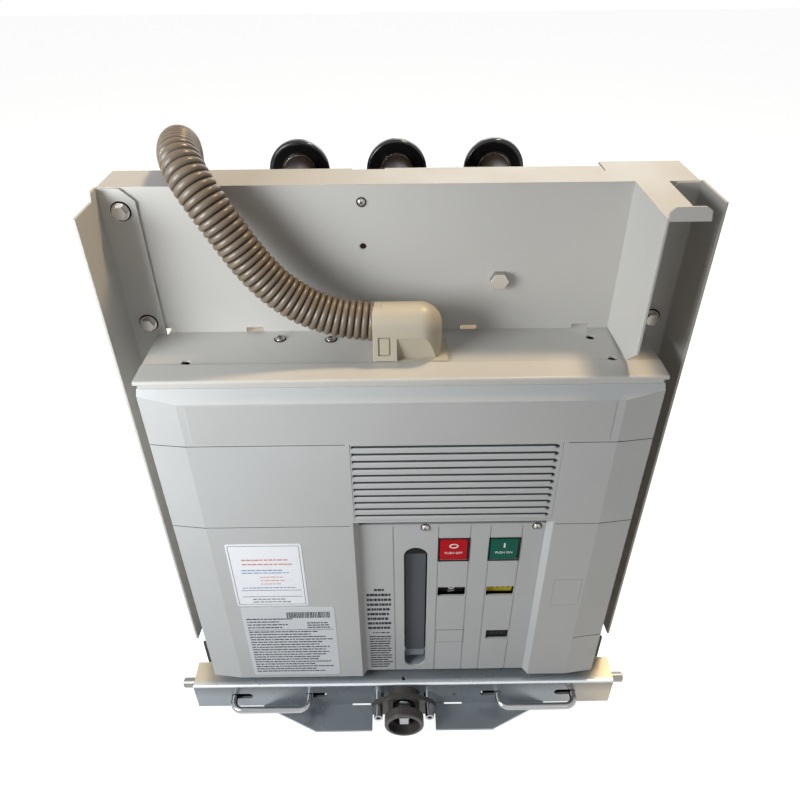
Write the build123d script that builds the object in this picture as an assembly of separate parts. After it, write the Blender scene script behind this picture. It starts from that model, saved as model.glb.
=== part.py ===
from build123d import *
import math
import os

# Withdrawable indoor vacuum circuit breaker on its racking truck, in millimetres.
# While it is drawn, Y = 0 is the front face of the truck's crossbeam, +Y runs back to
# the contacts, and Z = 0 is the floor under the wheels. save() moves every piece so that
# the origin is midway between the crank collar's front and the contacts' rear ends.

# ---- overall -----------------------------------------------------------------
BEAM_HALF = 251.5          # half width of the crossbeam and the side wings
HEIGHT = 632.0             # top of the shield plate
CONTACT_END = 662.0        # rear end of the tulip contacts
COLLAR_FRONT = -40.0       # front of the crank collar
MID_Y = (COLLAR_FRONT + CONTACT_END) / 2
POLE_PITCH = 150.0
POLE_X = (-POLE_PITCH, 0.0, POLE_PITCH)
ARM_UPPER_Z = 478.6
ARM_PITCH = 205.0
ARM_Z = (ARM_UPPER_Z - ARM_PITCH, ARM_UPPER_Z)
SIDES = (-1, 1)

# ---- truck and crossbeam -----------------------------------------------------
BEAM_SHEET = 3.0
BEAM_BOTTOM = 19.5
BEAM_TOP = 61.5
BEAM_DEPTH = 33.0
LIP_REACH = 33.0
LIP_ROOT_HALF = 172.0
LIP_TIP_HALF = 105.5
LIP_GAP_HALF = 38.0
SCREW_Z = 40.0
SCREW_R = 10.0
SCREW_REAR = 318.0
COLLAR_SCREW_X = 30.3
COLLAR_STAND = 9.0
COLLAR_PLATE = 6.0
COLLAR_HALF = 38.0
COLLAR_TOP = 58.0
COLLAR_ARCH_R = 46.0
COLLAR_NECK_R = 18.5
COLLAR_BORE_R = 14.6
RING_DEPTH = 12.0
RING_R = 23.0
RING_BORE_R = 18.6
SQUARE_END = (-35.0, -10.0)
SQUARE_HALF = 6.0
JOURNAL_R = 8.0
HANDLE_R = 4.0
HANDLE_LEGS = (114.0, 204.0)
HANDLE_FRONT = -18.0
HANDLE_Z = 40.5
HANDLE_TRAVEL = 17.0
SLOT_CLEAR = 0.4
LOCK_BAR_Y = (13.0, 25.0)
LOCK_BAR_Z = (33.5, 47.5)
LOCK_BAR_X = (98.0, 218.0)
LOCK_PIN_R = 6.0
LOCK_PIN_END = 270.0
GUIDE_WIDTH = 8.0
GUIDE_GAP = 8.0
TRUCK_HALF = 234.0
TRUCK_SHEET = 3.0
TRUCK_FRONT = 45.0
TRUCK_REAR = 500.0
TRUCK_TOP = 84.0
TRUCK_BOTTOM = 14.0
CHEEK_REACH = 11.0
CHEEK_BELOW_BEAM = 18.0
TRUCK_FLANGE = 16.0
WHEEL_R = 21.0
WHEEL_WIDTH = 11.0
WHEEL_Y = (105.0, 455.0)
AXLE_R = 6.0
AXLE_FIT = 0.05
RUNNING = 0.3              # clearance between pieces that pass each other

# ---- mechanism box, cover and panel ------------------------------------------
BOX_HALF = 217.0
BOX_FRONT = 16.0
BOX_REAR = 190.0
BOX_BOTTOM = 96.0
DECK_Z = 493.3
DECK_HALF = 227.0
DECK_FRONT = 12.0
DECK_WIDE_REAR = 93.5
DECK_LIP = 5.5
STRIP_REAR = 39.3
STRIP_SHEET = 1.2
BOX_SHEET = 2.5
COVER_HALF = 225.0
COVER_FLAT_HALF = 192.0
COVER_FRONT = 4.8
COVER_SIDE_Y = 9.3
COVER_REAR = 36.0
COVER_WALL = 3.0
COVER_BOTTOM = 72.0
COVER_TOP = 475.5
COVER_CREST = 487.5
PANEL_X = (-43.0, 142.5)
PANEL_TOP = 320.0
PANEL_Y = 12.8
PANEL_SHEET = 2.5
BEVEL = 5.2
GROOVES_X = (-9.0, 36.7, 68.6, 88.8, 120.5)
GRILLE_X = (-46.7, 144.8)
GRILLE_Z = (334.0, 429.5)
GRILLE_SLOTS = 11
GRILLE_SHEET = 6.0
LOUVRE_DEPTH = 3.8
LOUVRE_SHARE = 0.52
LOUVRE_HOOK_R = 0.6
SEAM_Z = (429.5, 326.5)
BUTTON_SIZE = (29.0, 31.0)
BUTTON_Z = 282.3
OFF_X = 52.4
ON_X = 104.0
BUTTON_FRONT = 12.2
WINDOW_SIZE = (29.6, 15.0)
WINDOW_Z = 215.7
DRUM_R = 26.0
DRUM_Y = 44.0
SLOT_X = (1.5, 25.8)
SLOT_Z = (79.0, 285.8)
LEVER_PIVOT = (27.0, 96.0)
LEVER_TOP = 282.0

# ---- shield, wings, bracket --------------------------------------------------
SHIELD_Y = 96.5
SHIELD_SHEET = 2.0
SHIELD_HALF = 249.0
SHIELD_FLANGE = 138.0
SHIELD_DEEP_FLANGE = 150.0
SHIELD_SPLIT = (176.5, 177.5)
WING_SHEET = 2.3
WING_FRONT = 44.0
WING_BOTTOM = 94.0
WING_STEP = 7.0
WING_FLANGE_X = 219.0
BRACKET_X = (195.0, 223.0)
BRACKET_FRONT = 14.0

# ---- poles, arms and contacts ------------------------------------------------
POLE_Y = 262.0
POLE_R = 64.0
POLE_WALL = 8.0
SHED_REACH = 8.0
POLE_Z = (121.0, 554.0)
WINDOW_R = 30.0
BOSS_R = 38.0
BOSS_END = 352.0
BOTTLE_R = 42.0
BOTTLE_Z = (302.0, 452.0)
CONTACT_GAP = 11.0
STEM_R = 12.0
STEM_FIT = 0.08
ARM_R = 21.0
ARM_START = 300.0
TULIP_START = 612.0
CONTACT_R = 24.5
ARM_TIP_Y = 634.0
TULIP_R = 46.5
BELL_FRONT = 606.0
BELL_REAR = 650.0
FINGER_R = 33.8
FINGERS = 20
FINGER_SHARE = 0.82
SLEEVE_R = 24.0

# ---- drive -------------------------------------------------------------------
SHAFT_Y = 168.0
SHAFT_Z = 150.0
SHAFT_R = 15.0
LEVER_LENGTH = POLE_Y - SHAFT_Y
SHAFT_SWING = math.degrees(CONTACT_GAP / LEVER_LENGTH)
ROD_PIN_Z = SHAFT_Z - LEVER_LENGTH * math.sin(math.radians(SHAFT_SWING / 2))
CAM_Y = 118.0
CAM_Z = 300.0
CAM_SHAFT_R = 11.0


def box(x, y, z):
    """A block from three (low, high) pairs."""
    size = [high - low for low, high in (x, y, z)]
    middle = [(low + high) / 2 for low, high in (x, y, z)]
    return Pos(*middle) * Box(*size)


def rod_x(radius, x, y, z):
    """A cylinder along X between the two values of x."""
    return Pos((x[0] + x[1]) / 2, y, z) * Rot(0, 90, 0) * Cylinder(radius, x[1] - x[0])


def rod_y(radius, y, x, z):
    """A cylinder along Y between the two values of y."""
    return Pos(x, (y[0] + y[1]) / 2, z) * Rot(90, 0, 0) * Cylinder(radius, y[1] - y[0])


def rod_z(radius, z, x, y):
    """A cylinder along Z between the two values of z."""
    return Pos(x, y, (z[0] + z[1]) / 2) * Cylinder(radius, z[1] - z[0])


def hex_y(across, y, x, z):
    """A hexagonal head along Y."""
    face = Plane((x, y[0], z), x_dir=(1, 0, 0), z_dir=(0, 1, 0))
    return extrude(face * RegularPolygon(across / 2, 6, major_radius=False), y[1] - y[0])


def side_outline(points):
    """A closed face in the YZ plane from (y, z) points."""
    return make_face(Polyline(*[(0, y, z) for y, z in points], close=True))


def plan_outline(points, z):
    """A closed face at height z from (x, y) points."""
    return make_face(Polyline(*[(x, y, z) for x, y in points], close=True))


def both_sides(shape):
    """The shape and its mirror image in the YZ plane."""
    return [shape, mirror(shape, about=Plane.YZ)]


def save(name, *shapes):
    """Write one node, moved so that the origin is in the middle of the depth."""
    solids = []
    for shape in shapes:
        solids += list(shape.solids())
    moved = [Pos(0, -MID_Y, 0) * solid for solid in solids]
    result = moved[0] if len(moved) == 1 else Compound(moved)
    export_step(result, f"parts/{name}.step")


# ---- truck -------------------------------------------------------------------
def truck_side(side):
    """Side plate with a turned-in top flange and a front cheek turned out to the rail."""
    plate = box((TRUCK_HALF - TRUCK_SHEET, TRUCK_HALF), (TRUCK_FRONT, TRUCK_REAR), (TRUCK_BOTTOM, TRUCK_TOP))
    plate += box((TRUCK_HALF - TRUCK_FLANGE, TRUCK_HALF), (TRUCK_FRONT, TRUCK_REAR),
                 (TRUCK_TOP - TRUCK_SHEET, TRUCK_TOP))
    plate += box((TRUCK_HALF, TRUCK_HALF + CHEEK_REACH), (TRUCK_FRONT, TRUCK_FRONT + TRUCK_SHEET),
                 (BEAM_TOP - CHEEK_BELOW_BEAM, TRUCK_TOP))
    for y in WHEEL_Y:
        plate -= rod_x(AXLE_R, (TRUCK_HALF - 2 * TRUCK_SHEET, TRUCK_HALF + TRUCK_SHEET), y, WHEEL_R)
    for y in (200.0, 280.0, 360.0):
        slot = Pos(TRUCK_HALF, y, 48) * Rot(0, 90, 0) * extrude(SlotOverall(14, 8), 2 * TRUCK_SHEET, both=True)
        plate -= slot
    return plate if side > 0 else mirror(plate, about=Plane.YZ)


def truck_floor():
    """Bottom plate with lightening holes and a notch at each axle head."""
    inner = TRUCK_HALF - TRUCK_SHEET
    plate = box((-inner, inner), (TRUCK_FRONT, TRUCK_REAR), (TRUCK_BOTTOM, TRUCK_BOTTOM + TRUCK_SHEET))
    for x in (-150.0, 150.0):
        for y in (180.0, 280.0, 380.0):
            plate -= rod_z(18, (0, 40), x, y)
    for y in WHEEL_Y:
        for side in SIDES:
            low, high = sorted((side * (inner - 6), side * (inner + 1)))
            plate -= box((low, high), (y - 12, y + 12), (0, 40))
    return plate


def truck_rear_member():
    """Rear channel that ties the two side plates."""
    inner = TRUCK_HALF - TRUCK_SHEET
    wall = box((-inner, inner), (TRUCK_REAR - TRUCK_SHEET, TRUCK_REAR),
               (TRUCK_BOTTOM + TRUCK_SHEET, TRUCK_TOP - TRUCK_SHEET))
    wall += box((-inner, inner), (TRUCK_REAR - 40, TRUCK_REAR),
                (TRUCK_TOP - 2 * TRUCK_SHEET, TRUCK_TOP - TRUCK_SHEET))
    return wall


def truck_cross_rails():
    """Two bars across the truck that carry the mechanism box."""
    inner = TRUCK_HALF - TRUCK_SHEET
    half = 15.0
    rails = []
    for y in (70.0, 170.0):
        rail = box((-inner, inner), (y - half, y + half), (TRUCK_TOP - 2 * TRUCK_SHEET, TRUCK_TOP - TRUCK_SHEET))
        rail += box((-inner + TRUCK_FLANGE, inner - TRUCK_FLANGE), (y - half, y + half),
                    (TRUCK_TOP - TRUCK_SHEET, BOX_BOTTOM))
        rails.append(rail)
    return rails


def wheel(side, y):
    """Track wheel with a rim flange on its inner face and a hub recess."""
    inner = TRUCK_HALF + 2.0
    centre_x = inner + WHEEL_WIDTH / 2
    body = rod_x(WHEEL_R - 2, (inner + 2.5, inner + WHEEL_WIDTH), y, WHEEL_R)
    body += rod_x(WHEEL_R, (inner, inner + 3), y, WHEEL_R)
    body -= rod_x(WHEEL_R - 7, (centre_x + 2.5, inner + 20), y, WHEEL_R)
    body += rod_x(AXLE_R + 4, (centre_x, inner + WHEEL_WIDTH - 2), y, WHEEL_R)
    body -= rod_x(AXLE_R + AXLE_FIT, (inner - 5, inner + 20), y, WHEEL_R)
    return body if side > 0 else mirror(body, about=Plane.YZ)


def wheel_axles():
    """Stub axles riveted to the side plates, each with a retaining head."""
    axles = []
    for y in WHEEL_Y:
        axle = rod_x(AXLE_R, (TRUCK_HALF - TRUCK_SHEET, TRUCK_HALF + 2 + WHEEL_WIDTH - 1.5), y, WHEEL_R)
        axle += rod_x(AXLE_R + 3, (TRUCK_HALF - TRUCK_SHEET - 4, TRUCK_HALF - TRUCK_SHEET), y, WHEEL_R)
        axle += rod_x(AXLE_R + 2.5, (TRUCK_HALF + 2 + WHEEL_WIDTH - 1.5, TRUCK_HALF + 2 + WHEEL_WIDTH + 0.5),
                      y, WHEEL_R)
        axles += both_sides(axle)
    return axles


def crossbeam():
    """Folded channel: front wall, top flange, end tabs and the split tray lip below."""
    wall = box((-BEAM_HALF, BEAM_HALF), (0, BEAM_SHEET), (BEAM_BOTTOM, BEAM_TOP))
    top = box((-BEAM_HALF, BEAM_HALF), (0, BEAM_DEPTH), (BEAM_TOP - BEAM_SHEET, BEAM_TOP))
    beam = wall + top
    for end in SIDES:
        tab = box((BEAM_HALF - BEAM_SHEET, BEAM_HALF), (0, BEAM_DEPTH), (BEAM_BOTTOM, BEAM_TOP))
        beam += tab if end > 0 else mirror(tab, about=Plane.YZ)
    lip = plan_outline([(-LIP_ROOT_HALF, BEAM_SHEET), (LIP_ROOT_HALF, BEAM_SHEET), (LIP_ROOT_HALF, 0),
                        (LIP_TIP_HALF, -LIP_REACH), (-LIP_TIP_HALF, -LIP_REACH), (-LIP_ROOT_HALF, 0)],
                       BEAM_BOTTOM - BEAM_SHEET)
    beam += extrude(lip, BEAM_SHEET, dir=(0, 0, 1))
    beam -= box((-LIP_GAP_HALF, LIP_GAP_HALF), (-LIP_REACH - 1, -0.01), (0, BEAM_BOTTOM + 1))
    for low, high in ((-63.0, -40.6), (49.5, 71.5)):
        beam -= box((low, high), (-1.2, BEAM_SHEET + 1), (BEAM_BOTTOM - BEAM_SHEET - 1, BEAM_BOTTOM + 1.5))
    beam = fillet(beam.edges().filter_by(Axis.X).filter_by_position(Axis.Y, -0.01, 0.01)
                  .filter_by_position(Axis.Z, BEAM_TOP - 0.01, BEAM_TOP + 0.01), 2.5)
    for leg in HANDLE_LEGS:
        start = leg - HANDLE_TRAVEL - HANDLE_R - SLOT_CLEAR
        end = leg + HANDLE_R + SLOT_CLEAR
        height = 2 * (HANDLE_R + SLOT_CLEAR) + 1.2
        for side in SIDES:
            place = Pos(side * (start + end) / 2, BEAM_SHEET / 2, HANDLE_Z) * Rot(90, 0, 0)
            beam -= place * extrude(SlotOverall(end - start, height), 8, both=True)
    for end in SIDES:
        beam -= rod_x(LOCK_PIN_R + RUNNING, (end * BEAM_HALF - 5, end * BEAM_HALF + 5),
                      sum(LOCK_BAR_Y) / 2, HANDLE_Z)
    beam -= rod_y(SCREW_R + 2.0, (-5, 8), 0, SCREW_Z)
    beam -= rod_z(2.5, (BEAM_TOP - BEAM_SHEET - 1, BEAM_TOP + 1), 0, 7.5)
    beam -= rod_y(2.0, (-5, 8), 61.5, 38.6)
    for side in SIDES:
        beam -= rod_y(4.0, (-5, 8), side * COLLAR_SCREW_X, SCREW_Z)
    return beam


def handle(side):
    """U-shaped pull handle bent from round bar."""
    inner, outer = HANDLE_LEGS
    bend = 11.0
    rear = LOCK_BAR_Y[0]
    path = FilletPolyline((inner, rear, HANDLE_Z), (inner, HANDLE_FRONT, HANDLE_Z),
                          (outer, HANDLE_FRONT, HANDLE_Z), (outer, rear, HANDLE_Z), radius=bend)
    bar = sweep(Plane((inner, rear, HANDLE_Z), z_dir=(0, -1, 0)) * Circle(HANDLE_R), path)
    return bar if side > 0 else mirror(bar, about=Plane.YZ)


def lock_bar(side):
    """Sliding bar behind the beam's front wall, turned down to a locking pin at its end."""
    bar = box(LOCK_BAR_X, LOCK_BAR_Y, LOCK_BAR_Z)
    centre = sum(LOCK_BAR_Y) / 2
    pin = rod_x(LOCK_PIN_R, (LOCK_BAR_X[1], LOCK_PIN_END), centre, HANDLE_Z)
    tip = pin.faces().sort_by(Axis.X)[-1]
    pin = chamfer(tip.edges(), 1.2)
    bar = bar + pin
    return bar if side > 0 else mirror(bar, about=Plane.YZ)


def lock_guides():
    """Channels inside the beam that guide each locking bar, clear of the handle's legs at both ends of its travel."""
    inner, outer = HANDLE_LEGS
    guides = []
    for low in (inner + HANDLE_R + GUIDE_GAP, outer - HANDLE_TRAVEL - HANDLE_R - GUIDE_GAP - GUIDE_WIDTH):
        guide = box((low, low + GUIDE_WIDTH), (BEAM_SHEET, LOCK_BAR_Y[1] + 6),
                    (LOCK_BAR_Z[0] - 6, BEAM_TOP - BEAM_SHEET))
        guide -= box((low - 1, low + GUIDE_WIDTH + 1), (LOCK_BAR_Y[0] - RUNNING, LOCK_BAR_Y[1] + RUNNING),
                     (LOCK_BAR_Z[0] - RUNNING, LOCK_BAR_Z[1] + RUNNING))
        guides += both_sides(guide)
    return guides


def crank_collar():
    """Cast collar round the racking screw's end: arched plate on a hub, open-topped neck and guide ring."""
    front = -COLLAR_STAND - COLLAR_PLATE
    plate = rod_y(COLLAR_ARCH_R, (front, -COLLAR_STAND), 0, COLLAR_TOP - COLLAR_ARCH_R)
    plate &= box((-COLLAR_HALF, COLLAR_HALF), (front, -COLLAR_STAND), (BEAM_BOTTOM + 2, COLLAR_TOP))
    hub = rod_y(COLLAR_NECK_R, (-COLLAR_STAND, 0), 0, SCREW_Z)
    neck = rod_y(COLLAR_NECK_R, (COLLAR_FRONT + RING_DEPTH - 1, front), 0, SCREW_Z)
    ring = rod_y(RING_R, (COLLAR_FRONT, COLLAR_FRONT + RING_DEPTH), 0, SCREW_Z)
    ring = fillet(ring.edges().filter_by(GeomType.CIRCLE), 1.6)
    collar = plate + hub + neck + ring
    collar -= rod_y(COLLAR_BORE_R, (COLLAR_FRONT - 1, -COLLAR_STAND), 0, SCREW_Z)
    collar -= rod_y(RING_BORE_R, (COLLAR_FRONT - 1, COLLAR_FRONT + RING_DEPTH - 3), 0, SCREW_Z)
    collar -= rod_y(JOURNAL_R + AXLE_FIT, (-COLLAR_STAND - 1, 1), 0, SCREW_Z)
    window = COLLAR_BORE_R - 1.6
    collar -= box((-window, window), (COLLAR_FRONT + RING_DEPTH, front), (SCREW_Z + 5, SCREW_Z + RING_R + 1))
    for side in SIDES:
        collar -= rod_y(4.0, (front - 1, 1), side * COLLAR_SCREW_X, SCREW_Z)
    return collar


def collar_screws():
    """Cap screws either side of the collar, each through a spacer that holds the plate off the beam."""
    screws = []
    for side in SIDES:
        x = side * COLLAR_SCREW_X
        screw = rod_y(3.9, (-COLLAR_STAND - COLLAR_PLATE - 1, BEAM_SHEET + 4), x, SCREW_Z)
        screw += rod_y(6.2, (-COLLAR_STAND, 0), x, SCREW_Z)
        screw += rod_y(5.2, (-30, -COLLAR_STAND - COLLAR_PLATE), x, SCREW_Z)
        screw -= rod_y(2.6, (-31, -25), x, SCREW_Z)
        screws.append(screw)
    return screws


def lead_screw():
    """Racking screw: squared end in the collar, journal, thrust shoulder and threaded length."""
    screw = box((-SQUARE_HALF, SQUARE_HALF), SQUARE_END, (SCREW_Z - SQUARE_HALF, SCREW_Z + SQUARE_HALF))
    screw = chamfer(screw.faces().sort_by(Axis.Y)[0].edges(), 1.0)
    screw += rod_y(JOURNAL_R, (SQUARE_END[1] - 4, 5), 0, SCREW_Z)
    screw += rod_y(SCREW_R + 1.5, (4, 9), 0, SCREW_Z)
    screw += rod_y(SCREW_R, (9, SCREW_REAR), 0, SCREW_Z)
    return screw


def screw_nut():
    """Bronze travelling nut on a foot bolted to the truck floor."""
    y = (70.0, 100.0)
    nut = rod_y(20.0, y, 0, SCREW_Z)
    nut += box((-30, 30), y, (TRUCK_BOTTOM + TRUCK_SHEET, TRUCK_BOTTOM + TRUCK_SHEET + 8))
    nut -= rod_y(SCREW_R + AXLE_FIT, (60, 110), 0, SCREW_Z)
    return nut


# ---- mechanism box, deck, cover ----------------------------------------------
def housing_shell():
    """Welded sheet box: sides, bottom and back, with a slot in the back for each drive lever."""
    shell = box((-BOX_HALF, BOX_HALF), (BOX_FRONT, BOX_REAR), (BOX_BOTTOM, DECK_Z - 2))
    shell -= box((-BOX_HALF + BOX_SHEET, BOX_HALF - BOX_SHEET), (BOX_FRONT - 1, BOX_REAR - BOX_SHEET),
                 (BOX_BOTTOM + BOX_SHEET, DECK_Z))
    for x in POLE_X:
        shell -= box((x - 16, x + 16), (BOX_REAR - 10, BOX_REAR + 5), (SHAFT_Z - 28, SHAFT_Z + 28))
    return shell - box((SLOT_X[0] - 4, SLOT_X[1] + 4), (BOX_FRONT - 1, 44), (BOX_BOTTOM - 1, BOX_BOTTOM + 4))


def housing_deck():
    """Top sheet with a doubled front strip, a rolled front lip, side steps and access holes."""
    deck = box((-DECK_HALF, DECK_HALF), (DECK_FRONT, DECK_WIDE_REAR), (DECK_Z - 2, DECK_Z))
    deck += box((-BOX_HALF, BOX_HALF), (DECK_FRONT, BOX_REAR), (DECK_Z - 2, DECK_Z))
    deck += box((-DECK_HALF, DECK_HALF), (DECK_FRONT, STRIP_REAR), (DECK_Z - 1, DECK_Z + STRIP_SHEET))
    deck += box((-COVER_HALF + 2, COVER_HALF - 2), (DECK_FRONT, DECK_FRONT + 2), (DECK_Z - DECK_LIP, DECK_Z))
    top = DECK_Z + STRIP_SHEET
    deck = fillet(deck.edges().filter_by(Axis.X).filter_by_position(Axis.Y, DECK_FRONT - 0.1, DECK_FRONT + 0.1)
                  .filter_by_position(Axis.Z, top - 0.1, top + 0.1), 2.4)
    for x, y in ((-189.0, 43.7), (175.3, 79.6), (186.3, 42.2)):
        deck -= rod_z(4.0, (DECK_Z - 5, DECK_Z + 5), x, y)
    deck -= rod_z(12.0, (DECK_Z - 5, DECK_Z + 5), 24.0, ELBOW_Y)
    return deck


def cover_outline(inset):
    """Plan outline of the cover with kinked sides, drawn in by the wall thickness."""
    return [(-COVER_HALF + inset, COVER_REAR + inset), (-COVER_HALF + inset, COVER_SIDE_Y + inset),
            (-COVER_FLAT_HALF, COVER_FRONT + inset), (COVER_FLAT_HALF, COVER_FRONT + inset),
            (COVER_HALF - inset, COVER_SIDE_Y + inset), (COVER_HALF - inset, COVER_REAR + inset)]


def front_cover():
    """Moulded cover: kinked front, sloping top bevel, open recess for the panel and grille opening."""
    outer = extrude(plan_outline(cover_outline(0), COVER_BOTTOM), COVER_CREST - COVER_BOTTOM, dir=(0, 0, 1))
    inner = extrude(plan_outline(cover_outline(COVER_WALL), COVER_BOTTOM + COVER_WALL),
                    COVER_CREST - COVER_BOTTOM - 2 * COVER_WALL, dir=(0, 0, 1))
    crest_y = BOX_FRONT - 3.0
    bevel = [(-1.0, COVER_CREST + 1), (-1.0, COVER_TOP), (COVER_FRONT, COVER_TOP), (crest_y, COVER_CREST),
             (crest_y, COVER_CREST + 1)]
    cut = extrude(side_outline(bevel), COVER_HALF + 5, dir=(1, 0, 0), both=True)
    wall_cut = Pos(0, COVER_WALL, -COVER_WALL) * cut
    cover = (outer - cut) - (inner - wall_cut)
    low, high = PANEL_X
    recess = loft([
        Plane((0, COVER_FRONT - 0.1, 0), x_dir=(1, 0, 0), z_dir=(0, 1, 0)) *
        Pos((low + high) / 2, -(PANEL_TOP + COVER_BOTTOM) / 2) *
        Rectangle(high - low + 2 * BEVEL, PANEL_TOP - COVER_BOTTOM + 2 * BEVEL + 12),
        Plane((0, PANEL_Y, 0), x_dir=(1, 0, 0), z_dir=(0, 1, 0)) *
        Pos((low + high) / 2, -(PANEL_TOP + COVER_BOTTOM) / 2) *
        Rectangle(high - low, PANEL_TOP - COVER_BOTTOM + 12)])
    rim = box((low - BEVEL - 3, high + BEVEL + 3), (COVER_FRONT, PANEL_Y), (COVER_BOTTOM, PANEL_TOP + BEVEL + 3))
    cover += rim
    cover -= recess
    cover -= box((low + 1.5, high - 1.5), (0, COVER_REAR), (COVER_BOTTOM - 1, PANEL_TOP - 1.5))
    cover -= box((low, high), (PANEL_Y, COVER_REAR + 1), (COVER_BOTTOM - 1, PANEL_TOP))
    cover -= box((-BOX_HALF - RUNNING, BOX_HALF + RUNNING), (BOX_FRONT - RUNNING, COVER_REAR + 1),
                 (COVER_TOP, COVER_CREST + 1))
    cover -= box(GRILLE_X, (0, COVER_FRONT + GRILLE_SHEET + 1), GRILLE_Z)
    groove = 0.8
    for z in SEAM_Z:
        for x in ((-COVER_HALF - 1, GRILLE_X[0] - 4), (GRILLE_X[1] + 4, COVER_HALF + 1)):
            cover -= box(x, (0, COVER_FRONT + groove), (z - groove / 2, z + groove / 2))
    return cover


def vent_grille():
    """Louvred insert: sloping grooves whose right-hand ends turn down in a quarter circle."""
    low, high = GRILLE_Z
    face = COVER_FRONT + 0.2
    plate = box((GRILLE_X[0] + 0.2, GRILLE_X[1] - 0.2), (face, face + GRILLE_SHEET), (low + 0.2, high - 0.2))
    pitch = (high - low - 1.0) / GRILLE_SLOTS
    height = pitch * LOUVRE_SHARE
    reach = LOUVRE_HOOK_R + height
    right = GRILLE_X[1] - 2.5 - reach
    for index in range(GRILLE_SLOTS):
        base = high - 1.5 - index * pitch - height
        groove = [(face - 1, base), (face, base), (face + LOUVRE_DEPTH, base + height), (face - 1, base + height)]
        plate -= extrude(Pos(GRILLE_X[0] + 1.2, 0, 0) * side_outline(groove), right - GRILLE_X[0] - 1.2,
                         dir=(1, 0, 0))
        hook = Axis((right, 0, base - LOUVRE_HOOK_R), (0, 1, 0))
        plate -= revolve(Pos(right, 0, 0) * side_outline(groove), hook, revolution_arc=90)
    return plate


def control_panel():
    """Flat fascia with grooves, button holes, windows and the charging lever's slot."""
    low, high = PANEL_X
    panel = box((low, high), (PANEL_Y, PANEL_Y + PANEL_SHEET), (COVER_BOTTOM, PANEL_TOP))
    for x in GROOVES_X:
        panel -= box((x - 0.5, x + 0.5), (PANEL_Y - 1, PANEL_Y + 0.6), (COVER_BOTTOM - 1, PANEL_TOP - 4))
    width, height = BUTTON_SIZE
    for x in (OFF_X, ON_X):
        hole = box((x - width / 2 - RUNNING, x + width / 2 + RUNNING), (PANEL_Y - 1, PANEL_Y + 9),
                   (BUTTON_Z - height / 2 - RUNNING, BUTTON_Z + height / 2 + RUNNING))
        panel -= hole
    for x in (OFF_X, ON_X + 0.7):
        panel -= box((x - WINDOW_SIZE[0] / 2, x + WINDOW_SIZE[0] / 2), (PANEL_Y - 1, PANEL_Y + 9),
                     (WINDOW_Z - WINDOW_SIZE[1] / 2, WINDOW_Z + WINDOW_SIZE[1] / 2))
    panel -= box((94.5, 120.0), (PANEL_Y - 1, PANEL_Y + 9), (131.0, 146.8))
    half = (SLOT_X[1] - SLOT_X[0]) / 2
    length = SLOT_Z[1] - SLOT_Z[0]
    middle = (sum(SLOT_X) / 2, PANEL_Y, sum(SLOT_Z) / 2)
    slot = extrude(Plane(middle, x_dir=(0, 0, 1), z_dir=(0, -1, 0)) * SlotOverall(length, 2 * half), 10, both=True)
    return panel - slot


def slot_liner():
    """Moulded trough behind the charging lever's slot."""
    outer = box((SLOT_X[0] - 3, SLOT_X[1] + 3), (PANEL_Y + PANEL_SHEET, 42), (COVER_BOTTOM + 5, SLOT_Z[1] + 3))
    return outer - box(SLOT_X, (PANEL_Y, 39.5), (COVER_BOTTOM + 7, SLOT_Z[1]))


def button(x):
    """Square push button with a guide stem."""
    width, height = BUTTON_SIZE
    cap = box((x - width / 2, x + width / 2), (BUTTON_FRONT, BUTTON_FRONT + 12),
              (BUTTON_Z - height / 2, BUTTON_Z + height / 2))
    cap = fillet(cap.edges().filter_by(Axis.Y), 2.0)
    front = cap.faces().sort_by(Axis.Y)[0]
    cap = chamfer(front.edges(), 1.0)
    return cap + rod_y(5.0, (BUTTON_FRONT + 11, BUTTON_FRONT + 28), x, BUTTON_Z)


def button_guides():
    """Bracket behind the panel whose two sleeves carry the button stems."""
    rear = BUTTON_FRONT + 28
    bracket = box((30, 128), (rear - 4, rear), (BUTTON_Z - 14, BUTTON_Z + 14))
    for x in (30, 76, 124):
        bracket += box((x, x + 4), (PANEL_Y + PANEL_SHEET, rear), (BUTTON_Z - 14, BUTTON_Z + 14))
    for x in (OFF_X, ON_X):
        bracket += rod_y(9.0, (rear, rear + 8), x, BUTTON_Z)
        bracket -= rod_y(5.0 + RUNNING, (BUTTON_FRONT + 10, rear + 10), x, BUTTON_Z)
    return bracket


def indicator_spindle():
    """Spindle of the two indicator drums on three legs behind the panel."""
    spindle = rod_x(3.0, (31, 125), DRUM_Y, WINDOW_Z)
    for x in (31, 77, 122):
        spindle += box((x, x + 3), (PANEL_Y + PANEL_SHEET, DRUM_Y + 5), (WINDOW_Z - 5, WINDOW_Z + 5))
    return spindle


def indicator_drum(x):
    """Sector drum behind a window, on a short spindle."""
    width = WINDOW_SIZE[0] - 2
    drum = rod_x(DRUM_R, (x - width / 2, x + width / 2), DRUM_Y, WINDOW_Z)
    drum -= rod_x(DRUM_R - 3, (x - width / 2 + 3, x + width), DRUM_Y, WINDOW_Z)
    drum &= box((x - 40, x + 40), (DRUM_Y - DRUM_R - 1, DRUM_Y - 4), (WINDOW_Z - 40, WINDOW_Z + 40))
    drum += rod_x(6.0, (x - width / 2, x + width / 2), DRUM_Y, WINDOW_Z)
    drum -= rod_x(3.0 + AXLE_FIT, (x - 30, x + 30), DRUM_Y, WINDOW_Z)
    return drum


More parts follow.
